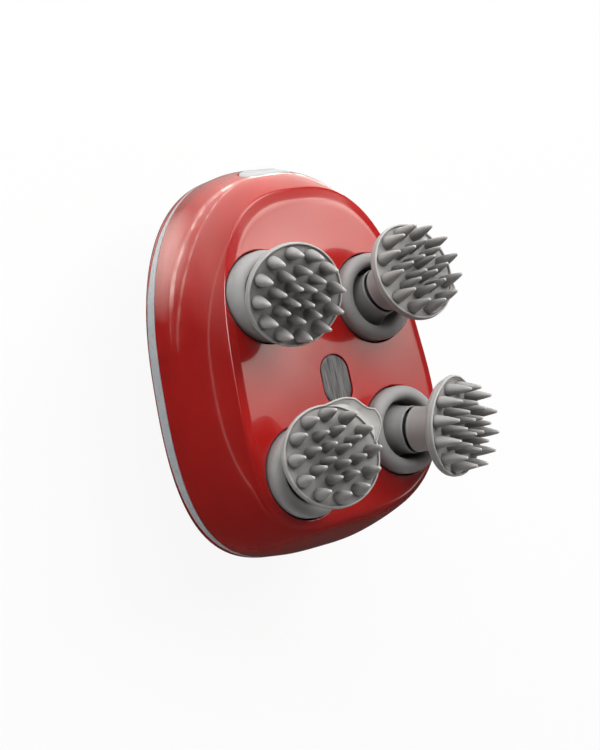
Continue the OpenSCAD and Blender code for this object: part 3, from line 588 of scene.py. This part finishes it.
# The rim round the flat face falls this far to its crease, and is this wide as a share of the inset
RIM_DROP, RIM_SHARE = 0.55, 0.35
BUTTON_END, SOCKET_END = math.pi / 2, 3 * math.pi / 2


def end_y(surface, t, z):
    """How far along Y a surface reaches at angle t and height z."""
    return surface(np.array([t]), z)[0][1]


def end_frame(surface, t, z, step, turn):
    """Places a piece on one end of the case: its +Z points outwards along the wall's normal."""
    lean = math.atan((end_y(surface, t, z - step) - end_y(surface, t, z + step)) / (2 * step))
    tilt = Matrix.Rotation(turn * math.pi / 2 + lean, 4, "X")
    return Matrix.Translation((0, end_y(surface, t, z), z)) @ tilt


AT_BUTTON = end_frame(flank, BUTTON_END, BUTTON_Z, 2, -1)
AT_PORT = end_frame(back, SOCKET_END, SOCKET_Z, 4, 1)
HINGE_IN_PORT = Matrix.Translation((0, -HINGE_DROP, -HINGE_DEPTH)) @ Matrix.Rotation(math.pi / 2, 4, "Y")
AT_INLAY = Matrix.Translation((INLAY_X, INLAY_Y, 0)) @ Matrix.Rotation(math.pi / 2, 4, "Z")


def face_rows(top):
    """Rows over the facet, round the crease at the face and over its rim to the flat face."""
    edge, rim = facet(T, 1.0, top), plan(T, 1 + RIM_SHARE + 0 * T, BODY_H)
    # The crease is rounder towards the socket end: it starts lower on the facet, at the share last,
    # and ends further in on the rim, at the share turned
    rounder = np.clip(-np.sin(T) * 1.25 - 0.15, 0, 1)
    last = 0.975 - 0.22 * rounder
    turned = (0.18 + 0.55 * rounder)[:, None]
    rows = [facet(T, FACET_FROM + (last - FACET_FROM) * v, top) for v in np.linspace(0, 1, 22)]
    rows += bezier(facet(T, last, top), edge, edge + (rim - edge) * turned, 9)[1:]
    rows += [edge + (rim - edge) * (turned + (0.78 - turned) * v) for v in (0.25, 0.5, 0.75)]
    flat_in = plan(T, 1 + RIM_SHARE + 0.16 + 0 * T, BODY_H)
    return rows + bezier(edge + (rim - edge) * 0.8, rim, flat_in, 5)


def front_rows():
    """Outer rows of the front half, from the seam up to the edge of the flat face."""
    seam, top = SEAM + band_half(T) + SEAM_GAP, BODY_H - RIM_DROP
    # The lower crease, with the directions down the flank and up the facet from it
    crease = facet(T, 0.0, top)
    below, above = unit(flank(T, crest_z(T) - 0.5) - crease), unit(facet(T, 0.04, top) - crease)
    low, high = crease + CREASE_CUT * below, crease + CREASE_CUT * above
    across, end = unit(high - low), low + CREASE_SOFT * below
    start_z = seam + SEAM_ROUND
    rows = [wall_at(T, seam + up, off) for up, off in SEAM_EDGE]
    rows += [wall_at(T, start_z + (end[:, 2] - start_z) * v) for v in np.linspace(0, 1, 12)[1:-1]]
    rows += bezier(end, low, low + CREASE_SOFT * across, 4)
    rows += bezier(high - CREASE_SOFT * across, high, high + CREASE_SOFT * above, 4)
    return rows + face_rows(top)


def front_inner_rows():
    """Inner rows of the front half, from behind the face back to the seam."""
    seam = SEAM + band_half(T) + SEAM_GAP
    rows = [facet(T, v, FACE_IN, WALL) for v in np.linspace(1, FACET_FROM, 9)]
    return rows + [wall_at(T, seam + (crest_z(T) - seam) * v, WALL) for v in (1, 0.75, 0.5, 0.25, 0)]


def rear_rows():
    """Outer rows of the rear half, from the seam down to the flat it rests on."""
    seam = SEAM - band_half(T) - SEAM_GAP
    rows = [back(T, seam - down, off) for down, off in SEAM_EDGE[:-1]]
    return rows + [back(T, (seam - SEAM_ROUND) * (1 - v)) for v in eased(40)]


def rear_inner_rows():
    """Inner rows of the rear half, from the inside of its bottom up to the seam."""
    seam = SEAM - band_half(T) - SEAM_GAP
    return [back(T, seam - (seam - WALL) * v, WALL) for v in eased(16)[::-1]]


def case_core(off):
    """The case as one closed solid that lies off inside the outer one."""
    rows = [back(T, off + (TURN_Z - off) * (1 - v), off) for v in eased(14)[::-1]]
    rows += [wall_at(T, z, off) for z in (SEAM, WAIST)]
    rows += [facet(T, v, BODY_H - off, off) for v in np.linspace(0, 1, 8)]
    return loft("core", rows)


def post_rods(radius, low, high, n=48):
    return [placed(rod(radius, low, high, n), Matrix.Translation((*at, 0))) for at in CASE_POSTS]


def case_posts(low, high):
    """Screw posts as one mesh, trimmed to end inside the wall."""
    first, *others = post_rods(POST_R, low, high)
    return combine(combine(first, others, "UNION"), [case_core(WALL / 2)], "INTERSECT")


def opening_cutter(x, y, radius, low, lip):
    """A round hole down to low, whose rim flares outwards into the face by lip."""
    flare = [(radius + lip * (1 - math.cos(a)), BODY_H - lip * (1 - math.sin(a)))
             for a in np.linspace(0, math.pi / 2, 7)]
    above = BODY_H + 4
    profile = [(0, low), (radius, low), *flare, (radius + lip, above), (0, above)]
    return placed(lathe("cut", profile, 128), Matrix.Translation((x, y, 0)))


def front_shell():
    """The front half with its openings, screw holes, recess for the insert and well for the button."""
    shell = hollow_half("front_shell_skin", front_rows(), front_inner_rows(), upwards=True)
    combine(shell, [case_posts(SEAM + 0.2, BODY_H)], "UNION")
    cutters = [opening_cutter(x, y, OPENING_R, HUB_Z - 0.5, 0.35) for x, y, *_ in ROTORS.values()]
    cutters += post_rods(THREAD_R, SEAM - 1, SEAM + 8, 32)
    recess = [(0, -INLAY_T), (0, -0.18), (0.05, -0.06), (0.18, 0.001), (0.18, 2)]
    recess = [(INLAY_GAP + grow, BODY_H + z) for grow, z in recess]
    cutters.append(placed(pill_solid("cut", INLAY_L, INLAY_W, recess), AT_INLAY))
    well = [(0.25, -5.5), (0.25, -0.2), (0.3, -0.05), (0.6, 0.35), (0.6, 6)]
    cutters.append(placed(pill_solid("cut", BUTTON_W, BUTTON_H, well), AT_BUTTON))
    return combine(shell, cutters, "DIFFERENCE")


def rear_shell():
    """The rear half with its counterbored screw holes, recess for the cover and hole for the socket."""
    shell = hollow_half("rear_shell_skin", rear_rows(), rear_inner_rows(), upwards=False)
    combine(shell, [case_posts(1.0, SEAM - 0.1)], "UNION")
    cutters = post_rods(SHANK_R, -1, SEAM + 2, 32) + post_rods(SCREW_HEAD_R, -1, SEAM - 8, 32)
    recess = [(0, -1.4), (0, -0.35), (0.04, -0.2), (0.2, 0.05), (0.6, 0.4), (0.6, 3)]
    recess = [(PORT_GAP + grow, z) for grow, z in recess]
    cutters.append(placed(pill_solid("cut", PORT_W, PORT_H, recess), AT_PORT))
    room, half = KNUCKLE_R + PORT_GAP, KNUCKLE_W / 2 + PORT_GAP
    knuckle_room = block(-half, half, -HINGE_DROP - room, -room, -HINGE_DEPTH - room, 4)
    cutters.append(placed(knuckle_room, AT_PORT))
    cutters.append(placed(rod(PIN_IN_CASE_R, -5.1, 5.1, 24), AT_PORT @ HINGE_IN_PORT))
    socket = Matrix.Translation((0, end_y(back, SOCKET_END, SOCKET_Z), SOCKET_Z))
    cutters.append(placed(rod(JACK_NOSE_R, -3, 9), socket @ Matrix.Rotation(-math.pi / 2, 4, "X")))
    return combine(shell, cutters, "DIFFERENCE")


def trim_band():
    """The light band between the halves, with small rounded edges, and the tongue behind it."""
    h = band_half(T)
    inset, inner, tongue, deep = 0.05, WALL + 0.15, 2.0, 1.0
    edge = h - 0.02
    slim = 0.28 * np.minimum(1, h / 0.8)
    corner = ((0.32, 0.0), (0.12, 0.22), (0.02, 0.32))
    rows = [wall_at(T, SEAM - edge + slim * up, inset + off) for off, up in corner]
    rows += [wall_at(T, SEAM + (edge - slim) * v, inset) for v in np.linspace(-1, 1, 9)]
    rows += [wall_at(T, SEAM + edge - slim * up, inset + off) for off, up in corner[::-1]]
    rows += [wall_at(T, SEAM + edge, inner), wall_at(T, SEAM + h + tongue, inner)]
    rows += [wall_at(T, SEAM + s * (h + tongue), inner + deep) for s in (1, -1)]
    rows += [wall_at(T, SEAM - h - tongue, inner), wall_at(T, SEAM - edge, inner)]
    ring = loft("trim_band_ring", rows, loop=True)
    return combine(ring, post_rods(POST_R + 0.2, SEAM - 12, SEAM + 12, 32), "DIFFERENCE")


make(front_shell(), "case", RED, "front_shell")
make(rear_shell(), "case", RED, "rear_shell")
make(trim_band(), "case", TRIM, "trim_band")

# ---- port cover, insert and button ---------------------------------------------------------------

# How far the cover's outside falls for each square millimetre from its middle, along X and Y
COVER_BOW_X, COVER_BOW_Y = 0.0035, 0.012
# How far the case's end curves back over half the button's width
BUTTON_BOW = 1.23


def port_cover():
    """A pill-shaped cover bowed like the case, on a knuckle, with a notch for a fingernail."""
    steps = [(-0.12, -1.0), (0, -0.88), (0, 0.02), (-0.06, 0.14), (-0.2, 0.22), (-0.5, 0.26), (-2.5, 0.3)]
    plate = pill_solid("port_cover_plate", PORT_W, PORT_H, steps, 32)
    for v in plate.data.vertices:
        if v.co.z > -0.5:
            v.co.z -= COVER_BOW_X * v.co.x**2 + COVER_BOW_Y * v.co.y**2
    combine(plate, [block(-20, 20, -PORT_H, 0.4 - PORT_H / 2, -3, 3)], "DIFFERENCE")
    barrel = placed(rod(KNUCKLE_R, -KNUCKLE_W / 2, KNUCKLE_W / 2), HINGE_IN_PORT)
    arm = block(-KNUCKLE_W / 2, KNUCKLE_W / 2, -HINGE_DROP, 2 - HINGE_DROP, -1.0, 0.0)
    combine(plate, [arm, barrel], "UNION")
    pin_hole = placed(rod(PIN_IN_COVER_R, -5, 5, 24), HINGE_IN_PORT)
    notch = placed(pill_solid("cut", 4.2, 1.1, [(0, -0.25), (0.25, 0.6)]), Matrix.Translation((0, 2.9, 0)))
    return placed(combine(plate, [pin_hole, notch], "DIFFERENCE"), AT_PORT)


def center_inlay():
    """An oval plate with a soft edge, set a little below the face."""
    steps = [(-0.05, 0.0), (0, 0.05), (0, 0.54), (-0.06, 0.64), (-0.3, 0.7), (-0.95, 0.7)]
    steps = [(grow, BODY_H - INLAY_T + z) for grow, z in steps]
    return placed(pill_solid("center_inlay_plate", INLAY_L, INLAY_W, steps, 32), AT_INLAY)


def power_button():
    """A flanged pill whose top follows the curve of the case and stands a little proud."""
    flange = [(1.2, -5.2), (1.2, -4.2), (0, -4.2)]
    crown = [(0, -0.2), (-0.05, 0.1), (-0.2, 0.32), (-0.5, 0.46), (-0.9, 0.5), (-2.2, 0.54), (-3.6, 0.56)]
    cap = pill_solid("power_button_cap", BUTTON_W, BUTTON_H, flange + crown, 32)
    radius = (BUTTON_W / 2) ** 2 / (2 * BUTTON_BOW)
    for v in cap.data.vertices:
        if v.co.z > -1:
            v.co.z -= radius - math.sqrt(radius**2 - v.co.x**2)
    return placed(cap, AT_BUTTON)


make(port_cover(), "cover", BUTTON, "port_cover")
make(center_inlay(), "case", INLAY, "center_inlay")
make(power_button(), "button", BUTTON, "power_button")

# ---- cups and heads ------------------------------------------------------------------------------

# Soft lobes that stand out from a head's rim, as (angle, reach beyond the rim) round the disc
LOBES = {
    "left_low": (
        (4, 0), (9, 1.0), (20, 3.8), (27, 4.3), (32, 4.4), (37, 3.3),
        (43, 3.1), (52, 3.4), (61, 2.6), (75, 0.7), (82, 0),
    ),
    "right_low": ((60, 0), (74, 0.5), (90, 0.6), (104, 0.4), (116, 0)),
    "right_top": ((322, 0), (332, 1.1), (342, 0)),
}
# A lobe begins this far above the disc's back and has its full reach after this further rise
LOBE_FOOT, LOBE_RISE = 0.6, 0.7
# A spike's length and tilt vary by up to this much
SPIKE_VARY, SPIKE_TILT = 0.12, 1.2
# The neck's bend starts at this height and is over after this much more
BEND_FROM, BEND_OVER = 8, 7.5


def cup_profile():
    """From the underside outwards, up the wall, over the fat rim and down into the valley."""
    tube = (CUP_R - CUP_MOUTH_R) / 2
    crown, floor = BODY_H + CUP_RISE - tube, HUB_Z + 2
    profile = [(11.5, HUB_Z), (CUP_R - 0.3, HUB_Z), (CUP_R, HUB_Z + 0.3), (CUP_R, crown - 1.2)]
    profile += arc(CUP_R - tube, crown, tube, 0, 180, 26)
    profile += [(CUP_MOUTH_R, crown - 1.0), (CUP_MOUTH_R - 0.1, 56.2)]
    profile += [(8.3, 54.6), (7.6, 53.7), (6.8, 53.4), (6.0, 53.35)]
    return profile + [(6.0, floor), (11.5, floor)]


def collar_profile():
    """A leaning sleeve with a thin lip round the foot of the neck, flared low in the cup."""
    outside = [(8.4, -2.6), (7.9, -1.8), (7.4, -0.6), (7.1, 0.8), (6.92, 2.2), (6.84, 3.4), (6.86, 4.3)]
    lip = [(6.9, 4.7), (6.86, 4.92), (6.72, 5.05), (6.5, 5.06), (6.3, 4.95), (6.15, 4.6)]
    return [(6.3, -2.6)] + outside + lip + [(6.0, 3.6), (5.95, 1.5), (6.1, 0.0)]


def head_profile():
    """The bore over the post, the neck with its lip, the flared back, the edge with its ridge, the rim."""
    bore_top = DISC_FLOOR - 2.2
    profile = [(0, bore_top), (5.3, bore_top), (5.3, NECK_LIP + 0.9), (5.6, NECK_LIP + 0.25)]
    profile += arc(NECK_R - 0.3, NECK_LIP + 0.45, 0.45, -120, 40, 9)
    profile += [(NECK_R, NECK_LIP + 1.1), (NECK_R - 0.05, NECK_LIP + 2)]
    profile += [(NECK_R - 0.08, NECK_LIP + up) for up in (3.2, 4.4, 5.6, 6.8)] + [(NECK_R, DISC_BACK - 2.4)]
    profile += arc(NECK_R + 2.4, DISC_BACK - 2.4, 2.4, 180, 90, 10)[1:]
    profile += [(HEAD_R - 2.6, DISC_BACK), (HEAD_R - 1.2, DISC_BACK)]
    profile += arc(HEAD_R - 0.75, DISC_BACK + 0.7, 0.7, -90, -8, 8)
    ridge = ((-0.03, -0.14), (0.07, -0.05), (0.07, 0.05), (-0.02, 0.14))
    profile += [(HEAD_R + out, RIDGE_Z + up) for out, up in ridge] + [(HEAD_R - 0.05, HEAD_REACH - 0.45)]
    profile += arc(HEAD_R - 0.36, HEAD_REACH - 0.3, 0.3, 0, 180, 9)
    inside = ((0.68, 0.2), (0.7, 0.12), (0.82, 0.02), (0.95, 0))
    profile += [(HEAD_R - deep, DISC_FLOOR + up) for deep, up in inside]
    return profile + [(9, DISC_FLOOR), (4, DISC_FLOOR), (0, DISC_FLOOR)]


def add_lobes(head, name):
    """Pulls the rim outwards into thin soft flaps, with a shallow valley inside a low fold."""
    if name not in LOBES:
        return head
    at, reach = np.array(LOBES[name], float).T
    for v in head.data.vertices:
        r = math.hypot(v.co.x, v.co.y)
        angle = math.degrees(math.atan2(v.co.y, v.co.x)) % 360
        out = float(np.interp(angle, at, reach, left=0, right=0))
        rise = v.co.z - DISC_BACK - LOBE_FOOT
        if r < HEAD_R - 0.75 or rise < 0 or out == 0:
            continue
        full = min(1, out / 1.5)
        # The rim moves out with the lobe, its inner foot half as far, and the floor's edge makes the fold
        if r > HEAD_R - 0.5 or v.co.z > DISC_FLOOR + 0.25:
            share = min(1, rise / LOBE_RISE)
            move, lift = out * share, 0.2 * out * share
            if v.co.z < RIDGE_Z + 0.2:
                lift += 0.5 * full * share
        elif v.co.z > DISC_FLOOR + 0.16:
            move, lift = 0.5 * out, 0.0
        else:
            move, lift = 0.2 * full, 0.42 * full
        v.co.x, v.co.y = v.co.x * (1 + move / r), v.co.y * (1 + move / r)
        v.co.z += lift
    return head


def spike(foot, seed):
    """A convex cone with a blunt, rounded tip, not quite straight."""
    rng = np.random.default_rng(seed)
    length = SPIKE_L - SPIKE_TIP_R + rng.uniform(-SPIKE_VARY, SPIKE_VARY)
    profile = [(0, -0.6), (foot * 1.04, -0.6), (foot * 1.02, 0)]
    for v in np.linspace(0, 1, 14)[1:]:
        profile.append((SPIKE_TIP_R + (foot - SPIKE_TIP_R) * (1 - v**1.45), length * v))
    profile += arc(0, length, SPIKE_TIP_R, 0, 90, 7)[1:-1] + [(0, length + SPIKE_TIP_R)]
    tilt_x = Matrix.Rotation(math.radians(rng.uniform(-SPIKE_TILT, SPIKE_TILT)), 4, "X")
    tilt_y = Matrix.Rotation(math.radians(rng.uniform(-SPIKE_TILT, SPIKE_TILT)), 4, "Y")
    return placed(lathe("spike", profile, 28), tilt_x @ tilt_y)


def all_spikes(turned, seed):
    """The spikes of one head as one mesh of separate solids."""
    verts, faces = [], []
    for ring, (count, radius, foot) in enumerate(SPIKE_RINGS):
        for k in range(count):
            piece = spike(foot, seed + 20 * ring + k)
            turn = Matrix.Rotation(math.radians(turned + 360 * k / count), 4, "Z")
            placed(piece, turn @ Matrix.Translation((radius, 0, DISC_FLOOR - 0.1)))
            faces += [tuple(len(verts) + i for i in p.vertices) for p in piece.data.polygons]
            verts += [tuple(v.co) for v in piece.data.vertices]
            bpy.data.objects.remove(piece)
    return raw("spikes", verts, faces)


def add_tip_attribute(obj):
    """Stores how close each point is to a spike's tip or the rim's edge, for the paler tips and edge."""
    tip = obj.data.attributes.new("tip", "FLOAT", "POINT")
    at = np.array([tuple(v.co) for v in obj.data.vertices])
    radius, height = np.hypot(at[:, 0], at[:, 1]), at[:, 2] - DISC_FLOOR
    edge = np.where((radius > HEAD_R - 0.7) & (height > RIM_DEPTH - 0.4), 0.55, 0)
    share = np.maximum(np.clip((height - 5.4) / 2.4, 0, 1) ** 1.6, edge)
    tip.data.foreach_set("value", share.astype(np.float32))


def leaned(azimuth, tilt):
    """Leans +Z by tilt degrees towards azimuth, without a twist."""
    a = math.radians(azimuth)
    return Matrix.Rotation(math.radians(tilt), 4, Vector((-math.sin(a), math.cos(a), 0)))


def bend(head, neck, disc):
    """Leans the neck one way and lets the soft disc follow its own lean."""
    lean_neck, lean_disc = leaned(*neck), leaned(*disc)
    straight = Vector((0, 0, DISC_FLOOR))
    middle = lean_neck @ straight
    for v in head.data.vertices:
        s = min(1, max(0, (v.co.z - BEND_FROM) / BEND_OVER))
        s = s * s * (3 - 2 * s)
        v.co = (1 - s) * (lean_neck @ v.co) + s * (middle + lean_disc @ (v.co - straight))
    return head


def soft_cup(name, neck):
    """The cup with the leaning collar round the neck's foot, about its own axis."""
    cup, collar = lathe(f"cup_{name}_skin", cup_profile(), 128), lathe("collar", collar_profile(), 128)
    placed(collar, Matrix.Translation((0, 0, PIVOT_Z)) @ leaned(*neck))
    return combine(cup, [collar], "UNION")


def soft_head(name, neck, disc, turned, seed):
    """The head with its lobes and spikes, bent as it leans out of its cup, about its own axis."""
    head = add_lobes(lathe(f"head_{name}_skin", head_profile(), 180), name)
    combine(head, [all_spikes(turned, seed)], "UNION")
    add_tip_attribute(head)
    return placed(bend(head, neck, disc), Matrix.Translation((0, 0, PIVOT_Z)))


for index, (name, (x, y, neck, disc, turned)) in enumerate(ROTORS.items()):
    on_axis = Matrix.Translation((x, y, 0))
    cup = placed(soft_cup(name, neck), on_axis)
    make(cup, f"rotor_{name}", CUP, f"cup_{name}", angle=40)
    head = placed(soft_head(name, neck, disc, turned, 100 * index), on_axis)
    make(head, f"rotor_{name}", HEAD, f"head_{name}", angle=38)

# ---- floor, light and camera, in metres ----------------------------------------------------------

AIM = Vector((0, 0, 0.05))


def floor_material():
    """White to the camera. Gloss mirrors it as dark, with a glow beyond the case and a glowing patch,
    streak and broken rings that paint highlights onto the red case.
    """
    f = Finish("floor_white", Roughness=0.6)
    f.colour(f.ramp(f.noise(3, 2), 0.3, (0.84, 0.84, 0.84), 0.7, (0.88, 0.88, 0.88)))
    place = f.place()
    # Painted reflections: the floor glows only in gloss, beyond the case, in a patch, in a thin streak and
    # in two broken rings, to put a haze and thin highlight lines on the case's shoulders and creases
    beyond = f.spread(place["Y"], 0.05, 0.13, 0.0, 1.25)
    beside = f.spread(place["X"], -0.3, -0.08, 0.35, 1.0)
    highlight_patch = f.spread(f.far_from((-0.055, 0.065, 0.0), (1, 1, 1)), 0.01, 0.038, 2.2, 0.0)
    streak = f.near(place["X"], -0.2, 0.003, 0.008, 0.9)
    round_case = f.far_from((0, 0, 0), (1 / 0.09, 1 / 0.13, 1))
    highlight_rings = f.plus(f.near(round_case, 1.0, 0.02, 0.05, 5.0), f.near(round_case, 1.2, 0.015, 0.04, 3.0))
    broken = f.spread(f.noise(60, 2), 0.42, 0.56, 0.25, 1.0)
    highlight_rings = f.times(f.times(highlight_rings, broken), f.spread(place["Y"], 0.02, 0.06, 0.0, 1.0))
    glow = f.plus(f.plus(f.times(beyond, beside), highlight_patch), f.plus(streak, highlight_rings))
    mirrored = f.emission(WARM, f.plus(glow, 0.04))
    rays = f.add("ShaderNodeLightPath").outputs
    to_camera = f.times(rays["Is Camera Ray"], 0.92)
    source = f.shader.outputs[0]
    for share, light in ((to_camera, f.emission(WHITE)), (rays["Is Glossy Ray"], mirrored)):
        mixed = f.add("ShaderNodeMixShader")
        f.link(share, mixed.inputs[0]).link(source, mixed.inputs[1]).link(light, mixed.inputs[2])
        source = mixed.outputs[0]
    f.surface(source)
    return f.material


def glow_material(name, half_w, half_h, radiance, soft, fade, tint, cloud):
    """Light that is soft towards the card's edges, may fade towards its bottom and may be uneven."""
    f = Finish(name)
    f.tree.nodes.remove(f.shader)
    place = f.place()
    glow = f.spread(place["Y"], -half_h, half_h, *fade)
    for axis, half in (("X", half_w), ("Y", half_h)):
        glow = f.times(glow, f.spread(f.size(place[axis]), half * (1 - soft), half, 1, 0, smooth=True))
    glow = f.times(glow, f.spread(f.noise(7), 0.35, 0.65, 1 - cloud, 1 + cloud))
    f.surface(f.emission(tint, f.times(glow, radiance)))
    return f.material


def glow_card(name, direction, distance, size, radiance, soft, seen_by,
              up=(0, 0, 1), fade=(1.0, 1.0), tint=WHITE, cloud=0.0):
    """A light panel that faces the case from a direction and shows only in gloss or only in diffuse."""
    w, h = size[0] / 2, size[1] / 2
    card = raw(name, [(-w, -h, 0), (w, -h, 0), (w, h, 0), (-w, h, 0)], [(0, 1, 2, 3)])
    outward = Vector(direction).normalized()
    z = -outward
    x = Vector(up).cross(z).normalized()
    turn = Matrix((x, z.cross(x), z)).transposed().to_4x4()
    card.matrix_world = Matrix.Translation(AIM + outward * distance) @ turn
    card.data.materials.append(glow_material(name, w, h, radiance, soft, fade, tint, cloud))
    card.visible_camera = False
    card.visible_shadow = False
    card.visible_glossy = seen_by == "glossy"
    card.visible_diffuse = seen_by == "diffuse"


floor = raw("floor", [(-3, -3, 0), (3, -3, 0), (3, 3, 0), (-3, 3, 0)], [(0, 1, 2, 3)])
floor.data.materials.append(floor_material())

glow_card("face_card", (0.61, 0.15, 0.79), 1.2, (0.75, 0.62), 5.4, 0.55, "glossy",
          up=(0, 1, 0), fade=(0.12, 1.0), tint=WARM, cloud=0.45)
glow_card("key_card", (-0.25, 0.80, 0.55), 0.8, (0.85, 0.85), 3.6, 0.3, "diffuse")
glow_card("fill_card", (0.45, 0.45, 0.80), 1.3, (1.1, 1.1), 6, 0.4, "diffuse", up=(0, 1, 0))
glow_card("crest_card", (0.30, 0.62, 0.72), 1.25, (1.0, 0.9), 4.0, 0.8, "glossy", tint=WARM)
glow_card("line_card", (-0.20, 0.90, 0.35), 1.3, (1.4, 0.5), 6, 0.7, "glossy")
glow_card("side_card", (-0.85, 0.35, 0.40), 1.3, (0.8, 0.8), 7, 0.7, "glossy")
glow_card("low_card", (0.10, -0.95, 0.10), 1.3, (0.9, 0.4), 2.6, 0.5, "diffuse")
glow_card("edge_card", (0.75, -0.40, 0.45), 1.3, (0.5, 0.5), 3, 0.7, "glossy", tint=WARM)

# The world lights faintly and is white to the camera
WORLD_LIGHT, WORLD_SEEN = 0.1, 0.95
world = bpy.data.worlds.new("studio")
bpy.context.scene.world = world
world.use_nodes = True
nodes, links = world.node_tree.nodes, world.node_tree.links
sky = nodes["Background"]
sky.inputs["Color"].default_value = WHITE
to_camera = nodes.new("ShaderNodeLightPath").outputs["Is Camera Ray"]
strength = nodes.new("ShaderNodeMapRange")
strength.inputs["To Min"].default_value = WORLD_LIGHT
strength.inputs["To Max"].default_value = WORLD_SEEN
links.new(to_camera, strength.inputs["Value"])
links.new(strength.outputs["Result"], sky.inputs["Strength"])

# The camera's place in millimetres, its axes, and its focal length in pixels of a 600 x 750 frame
CAMERA_AT = Vector((-302.9, -19.4, 431.6))
RIGHT, UP = Vector((0.7753, -0.2183, 0.5926)), Vector((0.1568, 0.9755, 0.1542))
BACK = Vector((-0.6118, -0.0267, 0.7906))
FOCAL_PX, FRAME_H_PX, SENSOR_MM = 1700, 750, 36
camera = bpy.data.objects.new("camera", bpy.data.cameras.new("camera"))
bpy.context.collection.objects.link(camera)
camera_turn = Matrix((RIGHT, UP, BACK)).transposed().to_4x4()
camera.matrix_world = Matrix.Translation(CAMERA_AT * MM) @ camera_turn
camera.data.sensor_width = SENSOR_MM
camera.data.lens = SENSOR_MM * FOCAL_PX / FRAME_H_PX
camera.data.clip_start, camera.data.clip_end = 0.05, 10
bpy.context.scene.camera = camera
bpy.context.scene.view_settings.view_transform = "Standard"
